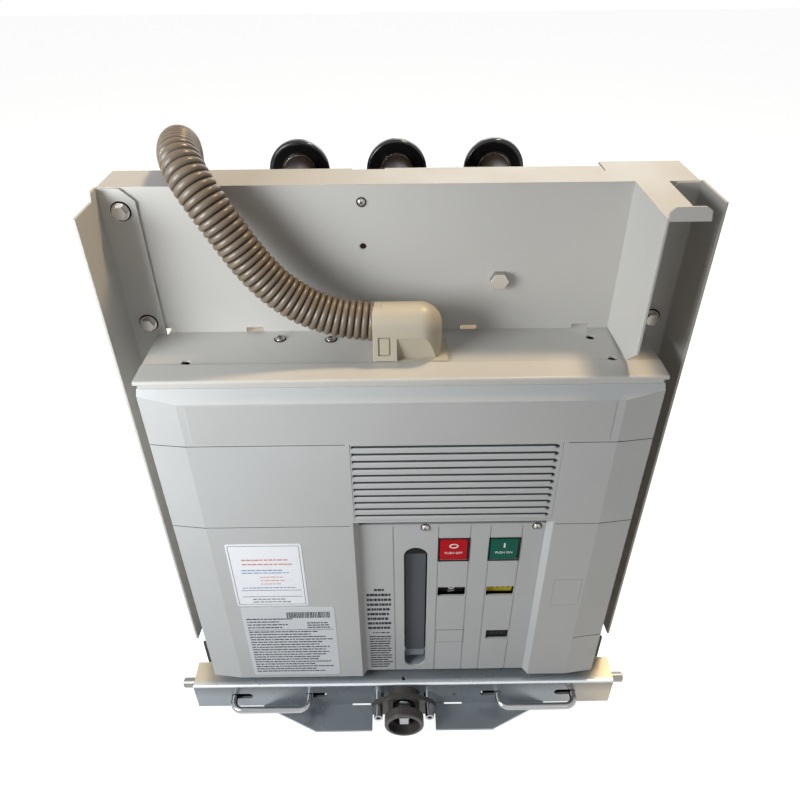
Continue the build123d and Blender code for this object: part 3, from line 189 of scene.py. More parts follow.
class Finish:
    """A procedural finish: its node tree and the few node shapes that all finishes share."""

    def __init__(self, name):
        self.material = bpy.data.materials.new(name)
        self.material.use_nodes = True
        self.nodes = self.material.node_tree.nodes
        self.links = self.material.node_tree.links
        self.shader = self.nodes["Principled BSDF"]
        self.place = self.nodes.new("ShaderNodeTexCoord").outputs["Object"]

    def join(self, source, target):
        self.links.new(source, target)

    def axes(self):
        """The object coordinates, axis by axis."""
        split = self.nodes.new("ShaderNodeSeparateXYZ")
        self.join(self.place, split.inputs["Vector"])
        return split.outputs

    def worked(self, operation, first, second=None):
        """A Math node on a socket and on a number or a second socket."""
        node = self.nodes.new("ShaderNodeMath")
        node.operation = operation
        self.join(first, node.inputs[0])
        if isinstance(second, bpy.types.NodeSocket):
            self.join(second, node.inputs[1])
        elif second is not None:
            node.inputs[1].default_value = second
        return node.outputs["Value"]

    def stretched(self, scale):
        """Object coordinates stretched by a factor for each axis."""
        mapping = self.nodes.new("ShaderNodeMapping")
        mapping.inputs["Scale"].default_value = scale
        self.join(self.place, mapping.inputs["Vector"])
        return mapping.outputs["Vector"]

    def noise(self, scale, detail=3.0, vector=None):
        """Noise over the object."""
        noise = self.nodes.new("ShaderNodeTexNoise")
        noise.inputs["Scale"].default_value = scale
        noise.inputs["Detail"].default_value = detail
        self.join(vector or self.place, noise.inputs["Vector"])
        return noise.outputs["Fac"]

    def ranged(self, value, low, high, start=0.3, end=0.7):
        """A value between start and end carried to the range from low to high."""
        node = self.nodes.new("ShaderNodeMapRange")
        node.inputs["From Min"].default_value = start
        node.inputs["From Max"].default_value = end
        node.inputs["To Min"].default_value = low
        node.inputs["To Max"].default_value = high
        self.join(value, node.inputs["Value"])
        return node.outputs["Result"]

    def mixed(self, factor, first, second):
        """A colour between two, each a tone or a socket."""
        node = self.nodes.new("ShaderNodeMix")
        node.data_type = "RGBA"
        for socket, value in ((node.inputs["A"], first), (node.inputs["B"], second)):
            if isinstance(value, bpy.types.NodeSocket):
                self.join(value, socket)
            else:
                socket.default_value = (*value, 1.0)
        self.join(factor, node.inputs["Factor"])
        return node.outputs["Result"]

    def colour(self, tone, drift, scale, detail=3.0, vector=None):
        """Base colour that drifts a little darker and lighter over the surface."""
        cloud = self.ranged(self.noise(scale, detail, vector), 0.0, 1.0)
        result = self.mixed(cloud, shaded(tone, 1 - drift), shaded(tone, 1 + drift))
        self.join(result, self.shader.inputs["Base Color"])

    def gloss(self, roughness, drift, scale, metallic=0.0, vector=None):
        """Roughness that drifts over the surface."""
        self.shader.inputs["Metallic"].default_value = metallic
        rough = self.ranged(self.noise(scale, 4.0, vector), roughness - drift, roughness + drift)
        self.join(rough, self.shader.inputs["Roughness"])

    def relief(self, scale, strength, depth=0.0002, edge=0.0, vector=None):
        """Fine surface relief over an optional softened edge."""
        bump = self.nodes.new("ShaderNodeBump")
        bump.inputs["Strength"].default_value = strength
        bump.inputs["Distance"].default_value = depth
        self.join(self.noise(scale, 5.0, vector), bump.inputs["Height"])
        if edge:
            bevel = self.nodes.new("ShaderNodeBevel")
            bevel.samples = 4
            bevel.inputs["Radius"].default_value = edge
            self.join(bevel.outputs["Normal"], bump.inputs["Normal"])
        self.join(bump.outputs["Normal"], self.shader.inputs["Normal"])


def coat_finish(name, tone, roughness=0.42, edge=0.0008):
    """Powder coat with a fine orange-peel skin."""
    finish = Finish(name)
    finish.colour(tone, 0.035, 6.0)
    finish.gloss(roughness, 0.06, 22.0)
    finish.relief(900.0, 0.10, 0.0002, edge)
    return finish.material


def plastic_finish(name, tone, roughness=0.45, edge=0.0006, grain=1400.0, drift=0.03, specular=0.5):
    """Moulded plastic with a fine sparked grain."""
    finish = Finish(name)
    finish.shader.inputs["Specular IOR Level"].default_value = specular
    finish.colour(tone, drift, 9.0)
    finish.gloss(roughness, 0.05, 30.0)
    finish.relief(grain, 0.12, 0.00012, edge)
    return finish.material


def sheet_metal_finish(name, tone, roughness):
    """Plated or ground metal whose streaks run along X."""
    finish = Finish(name)
    vector = finish.stretched((3.0, 90.0, 90.0))
    finish.colour(tone, 0.10, 5.0, 6.0, vector)
    finish.gloss(roughness, 0.08, 7.0, 1.0, vector)
    finish.relief(14.0, 0.10, 0.0002, 0.0006, vector)
    return finish.material


def zinc_finish(name, tone):
    """Zinc-plated sheet: cloudy spangle under a soft sheen."""
    finish = Finish(name)
    spangle = finish.nodes.new("ShaderNodeTexVoronoi")
    spangle.inputs["Scale"].default_value = 55.0
    finish.join(finish.place, spangle.inputs["Vector"])
    cloud = finish.ranged(finish.noise(9.0, 5.0), 0.0, 1.0)
    base = finish.mixed(cloud, shaded(tone, 0.86), shaded(tone, 1.10))
    fleck = finish.ranged(spangle.outputs["Distance"], 0.0, 0.22, 0.0, 1.0)
    mixed = finish.mixed(fleck, base, shaded(tone, 1.15))
    finish.join(mixed, finish.shader.inputs["Base Color"])
    finish.gloss(0.34, 0.09, 16.0, 0.65)
    finish.relief(120.0, 0.06, 0.0002, 0.0009)
    return finish.material


def beam_finish(name, tone, warm_reflection_start):
    """Zinc-plated channel with painted light: a painted highlight along the top bend, painted shade below
    it, and a painted warm reflection at the right and towards both ends of the top face, partly the yellow
    tint of passivated zinc.
    """
    finish = Finish(name)
    axes = finish.axes()
    cloud = finish.ranged(finish.noise(9.0, 5.0), 0.0, 1.0)
    base = finish.mixed(cloud, shaded(tone, 0.82), shaded(tone, 1.12))
    # Painted warm reflection towards the right end, partly the yellow tint of passivated zinc.
    right = finish.ranged(axes["X"], 0.0, 0.75, warm_reflection_start, warm_reflection_start + 0.075)
    base = finish.mixed(right, base, (0.56, 0.47, 0.35))
    # Painted shade: a darker band just below the top bend of the front, standing for a dark reflection.
    shade = finish.ranged(axes["Z"], 0.0, 0.55, BEAM_TOP - 0.022, BEAM_TOP - 0.004)
    base = finish.mixed(shade, base, shaded(tone, 0.35))
    # Painted highlight: a bright line along the bend at the top of the front.
    painted_fold_highlight = finish.ranged(axes["Z"], 0.0, 0.85, BEAM_TOP - 0.0030, BEAM_TOP - 0.0012)
    base = finish.mixed(painted_fold_highlight, base, (0.86, 0.90, 0.94))
    # The top face gets a slightly darker tone than the front, with a painted warm reflection towards both
    # ends, partly the yellow tint of passivated zinc.
    behind = finish.ranged(axes["Y"], 0.0, 0.85, BEAM_FACE + 0.0025, BEAM_FACE + 0.0075)
    reach = finish.worked("ABSOLUTE", axes["X"])
    ends = finish.ranged(reach, 0.0, 0.9, warm_reflection_start + 0.035, warm_reflection_start + 0.065)
    top = finish.mixed(ends, shaded(tone, 0.9), (0.78, 0.62, 0.38))
    base = finish.mixed(behind, base, top)
    finish.join(base, finish.shader.inputs["Base Color"])
    finish.gloss(0.30, 0.08, 16.0, 0.55)
    finish.relief(120.0, 0.06, 0.0002)
    return finish.material


def painted_light_bands_finish(name, tones, splits):
    """Moulded plastic in three tones, split at two heights above the floor; where it is used, the lowest
    tone is a painted light and the highest a painted shadow.
    """
    finish = Finish(name)
    finish.shader.inputs["Specular IOR Level"].default_value = 0.1
    axes = finish.axes()
    result = tones[0]
    for height, tone in zip(splits, tones[1:]):
        result = finish.mixed(finish.worked("GREATER_THAN", axes["Z"], height), result, tone)
    finish.join(result, finish.shader.inputs["Base Color"])
    finish.gloss(0.42, 0.05, 30.0)
    finish.relief(1400.0, 0.12, 0.00012, 0.0006)
    return finish.material


def lock_bar_finish(name, pin_tone, bar_shade_tone, pin_start):
    """Bar whose near-black is a painted shade for the beam's slots through which it is seen; its pin, beyond
    a distance from the middle, is plated.
    """
    finish = Finish(name)
    pin = finish.worked("GREATER_THAN", finish.worked("ABSOLUTE", finish.axes()["X"]), pin_start)
    finish.join(finish.mixed(pin, bar_shade_tone, pin_tone), finish.shader.inputs["Base Color"])
    finish.join(pin, finish.shader.inputs["Metallic"])
    finish.shader.inputs["Roughness"].default_value = 0.36
    finish.relief(200.0, 0.06, 0.0002, 0.0005)
    return finish.material


def bright_finish(name, tone, roughness=0.16):
    """Bright plated bar and fasteners."""
    finish = Finish(name)
    finish.colour(tone, 0.05, 40.0)
    finish.gloss(roughness, 0.05, 60.0, 1.0)
    finish.relief(300.0, 0.05, 0.0001, 0.0004)
    return finish.material


def resin_finish(name, tone):
    """Cast epoxy resin with a faint flow pattern."""
    finish = Finish(name)
    finish.colour(tone, 0.10, 14.0, 5.0)
    finish.gloss(0.30, 0.06, 25.0)
    finish.relief(240.0, 0.10, 0.0003, 0.0012)
    return finish.material


def hose_finish(name, tone):
    """Warm grey flexible conduit: painted shade darkens the grooves; the ribs keep the full tone with a
    dusty drift.
    """
    finish = Finish(name)
    height = finish.nodes.new("ShaderNodeAttribute")
    height.attribute_name = "rib"
    dust = finish.ranged(finish.noise(60.0, 4.0), 0.85, 1.15)
    # Painted shade in the grooves: where the rib attribute falls to 0, the colour falls to about a sixth of
    # the tone.
    shade = finish.mixed(finish.worked("MULTIPLY", height.outputs["Fac"], dust), shaded(tone, 0.16), tone)
    finish.join(shade, finish.shader.inputs["Base Color"])
    finish.gloss(0.34, 0.07, 35.0)
    finish.relief(500.0, 0.12, 0.00015)
    return finish.material


def make_finishes():
    """Every finish of the breaker, by name."""
    return {
        "zinc": zinc_finish("zinc_sheet", (0.30, 0.33, 0.355)),
        "beam": beam_finish("zinc_beam", (0.285, 0.312, 0.335), 0.175),
        "coat": coat_finish("grey_coat", (0.56, 0.545, 0.515)),
        "cover": plastic_finish("cover_plastic", (0.505, 0.51, 0.505), 0.40),
        "panel": plastic_finish("panel_plastic", (0.475, 0.483, 0.483), 0.42),
        "strip": plastic_finish("strip_plastic", (0.485, 0.485, 0.475), 0.36),
        "label": plastic_finish("label_film", (0.90, 0.92, 0.96), 0.30, 0.0002),
        "plate": plastic_finish("plate_film", (0.65, 0.67, 0.695), 0.34, 0.0002),
        "ink": plastic_finish("ink_grey", (0.040, 0.042, 0.052), 0.5, 0.0, specular=0.1),
        "ink_blue": plastic_finish("ink_blue", (0.15, 0.23, 0.42), 0.5, 0.0),
        "ink_red": plastic_finish("ink_red", (0.60, 0.20, 0.17), 0.5, 0.0),
        "print": plastic_finish("print_white", (0.84, 0.84, 0.84), 0.45, 0.0),
        "dark": plastic_finish("dark_casting", (0.050, 0.045, 0.041), 0.40, 0.0009, 300.0, 0.14),
        "black": plastic_finish("black_plastic", (0.008, 0.008, 0.009), 0.45, specular=0.08),
        # Dark grey for the painted shade on the louvres, and for the dark seams, the gap round the spare
        # window and the counter digits.
        "vent": plastic_finish("vent_shade", (0.058, 0.062, 0.064), 0.6, 0.0, specular=0.1),
        "shroud": plastic_finish("shroud_plastic", (0.005, 0.005, 0.006), 0.17, 0.001),
        "sleeve": plastic_finish("arm_sleeve", (0.024, 0.017, 0.013), 0.32),
        "oxide": plastic_finish("black_oxide", (0.022, 0.019, 0.017), 0.45),
        "red": plastic_finish("red_button", (0.50, 0.003, 0.008), 0.34, specular=0.09),
        "green": plastic_finish("green_button", (0.0, 0.110, 0.070), 0.34, specular=0.09),
        "yellow": plastic_finish("yellow_flag", (0.58, 0.47, 0.035), 0.42, specular=0.1),
        # Charging lever: its own dark grey, with a painted light on its lower end, where light falls into
        # the bottom of the recess, and a black painted shadow of the slot's upper rim on its top.
        "lever": painted_light_bands_finish("lever_painted_light_bands",
                               ((0.22, 0.25, 0.28), (0.104, 0.116, 0.127), (0.008, 0.009, 0.010)),
                               (0.1040, 0.2700)),
        # Slot liner: near black, with a painted light on the floor of the recess below and a black painted
        # shadow under the upper rim.
        "slot": painted_light_bands_finish("slot_painted_light_bands",
                              ((0.28, 0.31, 0.34), (0.014, 0.016, 0.019), (0.008, 0.009, 0.010)),
                              (0.1030, 0.2700)),
        "elbow": plastic_finish("elbow_plastic", (0.52, 0.465, 0.365), 0.38, 0.0012),
        "hose": hose_finish("hose_plastic", (0.185, 0.142, 0.100)),
        "resin": resin_finish("pole_resin", (0.105, 0.045, 0.030)),
        "ceramic": plastic_finish("bottle_ceramic", (0.80, 0.80, 0.78), 0.15),
        "copper": bright_finish("silvered_copper", (0.62, 0.50, 0.43), 0.28),
        "steel": sheet_metal_finish("ground_steel", (0.36, 0.37, 0.38), 0.30),
        "bright": bright_finish("bright_steel", (0.36, 0.365, 0.37)),
        "bolt": bright_finish("bolt_steel", (0.42, 0.40, 0.37), 0.24),
        # Lock bars: near black as a painted shade in the slots of the beam, with plated pins.
        "bar": lock_bar_finish("lock_bar_steel", (0.27, 0.265, 0.25), (0.006, 0.006, 0.006), 0.219),
        "bronze": sheet_metal_finish("bronze", (0.48, 0.33, 0.16), 0.32),
        "aluminium": sheet_metal_finish("cast_aluminium", (0.50, 0.51, 0.52), 0.42),
    }


NODE_FINISHES = {
    "zinc": ("truck_floor", "truck_rear_member", "truck_cross_rails", "cam_frame"),
    "beam": ("crossbeam",),
    "coat": ("housing_shell", "housing_deck", "shield_plate", "wing_left", "wing_right", "duct_bracket"),
    "cover": ("front_cover", "vent_grille"),
    "panel": ("control_panel",),
    "dark": ("crank_collar",),
    "black": ("button_guides", "indicator_spindle", "operation_counter", "plug", "position_indicator",
              "solenoid_coils", "auxiliary_switch"),
    "slot": ("slot_liner",),
    # The lock guides' near-black is also a painted shade inside the beam's slots.
    "oxide": ("truck_side_left", "truck_side_right", "lock_guides"),
    "shroud": ("tulip_cages",),
    "sleeve": ("arm_sleeves",),
    "red": ("off_button",),
    "green": ("on_button",),
    "yellow": ("spring_indicator",),
    "lever": ("charging_lever",),
    "elbow": ("cable_elbow",),
    "hose": ("hose",),
    "resin": ("poles", "drive_rods"),
    "ceramic": ("vacuum_interrupters",),
    "copper": ("contact_arms", "terminals", "tulip_fingers"),
    "bar": ("lock_bar_left", "lock_bar_right"),
    "steel": ("wheel_axles", "lead_screw", "lever_pin", "main_shaft",
              "cam_shaft", "closing_spring", "wheel_front_left", "wheel_front_right", "wheel_rear_left",
              "wheel_rear_right"),
    "bright": ("collar_screws", "handle_left", "handle_right"),
    "bolt": ("shield_bolts", "panel_screws"),
    "bronze": ("screw_nut",),
    "aluminium": ("shaft_bearings", "charging_motor"),
}

finishes = {}


# ---- mesh helpers ------------------------------------------------------------
def block(bm, low, high):
    """A box between two corners; returns its vertices."""
    size = Vector(high) - Vector(low)
    middle = (Vector(high) + Vector(low)) / 2
    place = Matrix.Translation(middle) @ Matrix.Diagonal((*size, 1))
    return bmesh.ops.create_cube(bm, size=1.0, matrix=place)["verts"]


def round_bar(bm, radius, length, place, segments=32, radius_end=None):
    """A capped cylinder or cone whose middle is at place, a matrix with Z along the axis."""
    far = radius if radius_end is None else radius_end
    made = bmesh.ops.create_cone(bm, cap_ends=True, segments=segments, radius1=radius, radius2=far,
                                 depth=length, matrix=place)
    return made["verts"]


def round_edges(bm, edges, width, segments):
    """Bevel some edges to a round."""
    bmesh.ops.bevel(bm, geom=edges, offset=width, segments=segments, affect="EDGES", profile=0.5,
                    material=-1)


def soften(bm, width, segments=2, angle=30.0, verts=None):
    """Bevel the sharp edges, all of them or those of some vertices."""
    chosen = set(verts) if verts else None
    edges = [edge for edge in bm.edges if edge.is_manifold and edge.calc_face_angle() > math.radians(angle)
             and (chosen is None or all(vert in chosen for vert in edge.verts))]
    round_edges(bm, edges, width, segments)


def facing_front(x, y, z):
    """A matrix at a point whose Z axis points at the operator."""
    return Matrix.Translation((x, y, z)) @ Matrix.Rotation(math.radians(90), 4, "X")


def raised(place, height):
    """A place moved along its own Z axis."""
    return place @ Matrix.Translation((0, 0, height))


def add_piece(name, bm, finish, body="breaker", smooth=30.0):
    """Finish a bmesh as an object that rides on a body."""
    bmesh.ops.recalc_face_normals(bm, faces=bm.faces)
    mesh = bpy.data.meshes.new(name)
    bm.to_mesh(mesh)
    bm.free()
    piece = bpy.data.objects.new(name, mesh)
    bpy.context.collection.objects.link(piece)
    mesh.materials.append(finishes[finish])
    if smooth:
        mesh.shade_smooth()
        mesh.set_sharp_from_angle(angle=math.radians(smooth))
    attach(piece, body)
    return piece


# ---- settings ----------------------------------------------------------------
class BreakerHose(bpy.types.PropertyGroup):
    """Sizes of the corrugated hose."""

    diameter: FloatProperty(name="Diameter", description="Outside diameter over the ribs", default=0.0344,
                            unit="LENGTH")
    pitch: FloatProperty(name="Rib pitch", description="Distance from rib to rib", default=0.0060,
                         unit="LENGTH")
    groove: FloatProperty(name="Groove depth", description="Depth of the grooves", default=0.0023,
                          unit="LENGTH")


class BreakerFascia(bpy.types.PropertyGroup):
    """Sizes of the labels and marks on the front."""

    film: FloatProperty(name="Label thickness", description="Thickness of labels and plates", default=0.0003,
                        unit="LENGTH")
    mark: FloatProperty(name="Mark height", description="Height of the symbols on the buttons",
                        default=0.0065, unit="LENGTH")
    rows: IntProperty(name="Ruled rows", description="Rows on the rating plate", default=17)


class BreakerStage(bpy.types.PropertyGroup):
    """Camera and studio."""

    camera_place: FloatVectorProperty(name="Camera place", description="Where the camera stands", size=3,
                                      default=(-0.00363, -0.78166, 0.82555), subtype="TRANSLATION")
    pitch: FloatProperty(name="Camera pitch", description="Degrees that the camera looks down",
                         default=36.12)
    yaw: FloatProperty(name="Camera yaw", description="Degrees that the camera turns right", default=0.29)
    roll: FloatProperty(name="Camera roll", description="Degrees that the camera leans", default=-0.52)
    lens: FloatProperty(name="Lens", description="Focal length in millimetres", default=31.263)
    floor_tone: FloatVectorProperty(name="Floor colour", description="Colour of the studio floor", size=3,
                                    default=(0.55, 0.55, 0.55), subtype="COLOR")
    floor_lift: FloatProperty(name="Floor lift", description="White that the floor adds for the camera",
                              default=0.91)


# ---- operators ---------------------------------------------------------------
class BREAKER_OT_finishes(bpy.types.Operator):
    """Give every carried-over node its finish"""

    bl_idname = "breaker.finishes"
    bl_label = "Finishes"

    def execute(self, context):
        finishes.update(make_finishes())
        for finish, names in NODE_FINISHES.items():
            for name in names:
                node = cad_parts[name]
                node.data.materials.clear()
                node.data.materials.append(finishes[finish])
        return {"FINISHED"}


def route_points():
    """The smooth line of the hose, read from its NURBS spline."""
    curve = bpy.data.curves.new("hose_route", "CURVE")
    curve.dimensions = "3D"
    curve.resolution_u = 12
    spline = curve.splines.new("NURBS")
    spline.points.add(len(HOSE_ROUTE) - 1)
    for point, (x, y, z) in zip(spline.points, HOSE_ROUTE):
        point.co = (x, y - ROUTE_BACK, z, 1.0)
    spline.order_u = 3
    spline.use_endpoint_u = True
    holder = bpy.data.objects.new("hose_route", curve)
    line = bpy.data.meshes.new_from_object(holder)
    points = [vert.co.copy() for vert in line.vertices]
    bpy.data.objects.remove(holder)
    bpy.data.meshes.remove(line)
    bpy.data.curves.remove(curve)
    return points


def travelling_frames(points):
    """A turned frame at each point that never twists about the line."""
    frames = []
    side = None
    for index, point in enumerate(points):
        ahead = points[min(index + 1, len(points) - 1)]
        behind = points[max(index - 1, 0)]
        along = (ahead - behind).normalized()
        side = along.orthogonal() if side is None else side - along * side.dot(along)
        side.normalize()
        frames.append((point, along, side.copy(), along.cross(side)))
    return frames


class BREAKER_OT_hose(bpy.types.Operator):
    """Corrugated hose from the elbow over the shield to its plug"""

    bl_idname = "breaker.hose"
    bl_label = "Hose"

    def execute(self, context):
        sizes = context.scene.breaker_hose
        points = route_points()
        reached = [0.0]
        for before, after in zip(points, points[1:]):
            reached.append(reached[-1] + (after - before).length)
        length = reached[-1]
        frames = travelling_frames(points)
        ribs = round(length / sizes.pitch)
        steps = ribs * STEPS_PER_RIB
        bm = bmesh.new()
        rib_layer = bm.verts.layers.float.new("rib")
        previous = None
        radius = sizes.diameter / 2
        for step in range(steps + 1):
            swell = abs(math.sin(math.pi * step / STEPS_PER_RIB)) ** RIB_FULLNESS
            vert = bm.verts.new((radius - sizes.groove * (1 - swell), 0, length * step / steps))
            # The rib attribute, 0 in a groove and 1 on a rib, is also the mask of the painted groove shade.
            vert[rib_layer] = swell
            if previous:
                bm.edges.new((previous, vert))
            previous = vert
        bmesh.ops.spin(bm, geom=bm.verts[:] + bm.edges[:], cent=(0, 0, 0), axis=(0, 0, 1),
                       angle=math.tau, steps=HOSE_SIDES, use_merge=True)
        place = 0
        for vert in sorted(bm.verts, key=lambda item: item.co.z):
            while place < len(reached) - 2 and reached[place + 1] < vert.co.z:
                place += 1
            share = (vert.co.z - reached[place]) / (reached[place + 1] - reached[place])
            one, two = frames[place], frames[place + 1]
            centre = one[0].lerp(two[0], share)
            side = one[2].lerp(two[2], share).normalized()
            other = one[3].lerp(two[3], share).normalized()
            vert.co = centre + side * vert.co.x + other * vert.co.y
        bmesh.ops.holes_fill(bm, edges=[edge for edge in bm.edges if edge.is_boundary])
        hose = add_piece("hose_corrugated", bm, "hose", smooth=60.0)
        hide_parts("hose")
        return {"FINISHED"}


def ruled_rows(bm, y, low, high, rows, seed, thick, runs=USUAL_RUNS, gaps=USUAL_GAPS, ragged=0.3):
    """Plain ruled bars of uneven length in rows, the grey of print without any words."""
    source = random.Random(seed)
    pitch = (high[1] - low[1]) / rows
    for row in range(rows):
        z = high[1] - pitch * (row + 0.5)
        x = low[0]
        last = high[0] - (high[0] - low[0]) * source.uniform(0.0, ragged)
        while x < last - runs[0]:
            run = min(source.uniform(*runs), last - x)
            block(bm, (x, y, z - thick / 2), (x + run, y + INK, z + thick / 2))
            x += run + source.uniform(*gaps)


def ring_plate(bm, low, high, y, depth, width):
    """A flat rectangular frame of four bars that faces the operator; low and high are its outer corners."""
    (left, bottom), (right, top) = low, high
    block(bm, (left, y, bottom), (right, y + depth, bottom + width))
    block(bm, (left, y, top - width), (right, y + depth, top))
    block(bm, (left, y, bottom + width), (left + width, y + depth, top - width))
    block(bm, (right - width, y, bottom + width), (right, y + depth, top - width))


def lettering(name, words, place, height, finish, body="breaker"):
    """Plain raised words that face the operator, made a mesh."""
    curve = bpy.data.curves.new(name, "FONT")
    curve.body = words
    curve.size = height * 1.4
    curve.align_x = "CENTER"
    curve.align_y = "CENTER"
    curve.extrude = INK / 2
    curve.resolution_u = 3
    holder = bpy.data.objects.new(name + "_curve", curve)
    mesh = bpy.data.meshes.new_from_object(holder)
    bm = bmesh.new()
    bm.from_mesh(mesh)
    bpy.data.objects.remove(holder)
    bpy.data.curves.remove(curve)
    bpy.data.meshes.remove(mesh)
    bmesh.ops.remove_doubles(bm, verts=bm.verts, dist=0.000005)
    bmesh.ops.transform(bm, matrix=facing_front(*place), verts=bm.verts)
    return add_piece(name, bm, finish, body, smooth=0)


class BREAKER_OT_labels(bpy.types.Operator):
    """Bare name strip and plain ruled plates on the front"""

    bl_idname = "breaker.labels"
    bl_label = "Labels"

    def execute(self, context):
        sizes = context.scene.breaker_fascia
        front, back = COVER_FACE - sizes.film, COVER_FACE + 0.001
        low, high = NAME_STRIP
        bm = bmesh.new()
        block(bm, (low[0], front, low[1]), (high[0], back, high[1]))
        soften(bm, 0.0002, 1)
        add_piece("name_strip", bm, "strip")
        for name, (low, high, finish) in PLATES.items():
            bm = bmesh.new()
            block(bm, (low[0], front, low[1]), (high[0], back, high[1]))
            corners = [edge for edge in bm.edges
                       if abs(edge.verts[0].co.y - edge.verts[1].co.y) > sizes.film]
            round_edges(bm, corners, 0.0025, 4)
            add_piece(name, bm, finish)
        self.rule_label(front - INK / 2)
        self.rule_plate(front - INK / 2, sizes.rows)
        self.rule_piece("panel_rows", "ink", bmesh.new(), PANEL_FACE - INK / 2, PANEL_ROWS)
        return {"FINISHED"}

    def rule_piece(self, name, finish, bm, y, table):
        """Add the rows of a table to a bmesh, and make it a piece."""
        for row in table:
            ruled_rows(bm, y, *row)
        add_piece(name, bm, finish, smooth=0)

    def rule_label(self, y):
        """Outline, lines and rows of the white label."""
        bm = bmesh.new()
        ring_plate(bm, *LABEL_OUTLINE, y, INK, 0.0004)
        for z in LABEL_LINES:
            block(bm, (-0.1700, y, z), (-0.1070, y + INK, z + 0.0005))
        self.rule_piece("label_outline", "ink", bm, y, LABEL_BLACK_ROWS)
        self.rule_piece("label_red_rows", "ink_red", bmesh.new(), y, LABEL_RED_ROWS)
        self.rule_piece("label_blue_rows", "ink_blue", bmesh.new(), y, LABEL_BLUE_ROWS)

    def rule_plate(self, y, rows):
        """Rows, a line and a field of plain upright bars on the rating plate."""
        bm = bmesh.new()
        ruled_rows(bm, y, *PLATE_FIELD, rows, 5, 0.0016, USUAL_RUNS, (0.0005, 0.0012), 0.28)
        for row in PLATE_ROWS:
            ruled_rows(bm, y, *row)
        block(bm, (-0.1730, y, PLATE_LINE), (-0.0775, y + INK, PLATE_LINE + 0.0005))
        source = random.Random(2)
        (x, bottom), (last, top) = BAR_FIELD
        while x < last:
            width = source.uniform(0.0004, 0.0012)
            block(bm, (x, y, bottom), (x + width, y + INK, top))
            x += width + source.uniform(0.0004, 0.0010)
        add_piece("plate_rows", bm, "ink", smooth=0)


def ring_mark(bm, x, y, z, width, height, stroke):
    """An O lying in the plane of the front."""
    outer = bmesh.ops.create_circle(bm, segments=40, radius=1.0)["verts"]
    inner = bmesh.ops.create_circle(bm, segments=40, radius=1.0)["verts"]
    bmesh.ops.scale(bm, verts=outer, vec=(width / 2, height / 2, 1))
    bmesh.ops.scale(bm, verts=inner, vec=(width / 2 - stroke, height / 2 - stroke, 1))
    rings = set(outer + inner)
    edges = [edge for edge in bm.edges if edge.verts[0] in rings]
    faces = bmesh.ops.bridge_loops(bm, edges=edges)["faces"]
    lifted = bmesh.ops.extrude_face_region(bm, geom=faces)["geom"]
    moved = [item for item in lifted if isinstance(item, bmesh.types.BMVert)]
    bmesh.ops.translate(bm, verts=moved, vec=(0, 0, INK))
    bmesh.ops.transform(bm, matrix=facing_front(x, y, z), verts=list(rings) + moved)


def drum_front(offset):
    """Depth of an indicator drum's face at a height above its middle."""
    return DRUM_MIDDLE[0] - math.sqrt(DRUM_RADIUS ** 2 - offset ** 2)


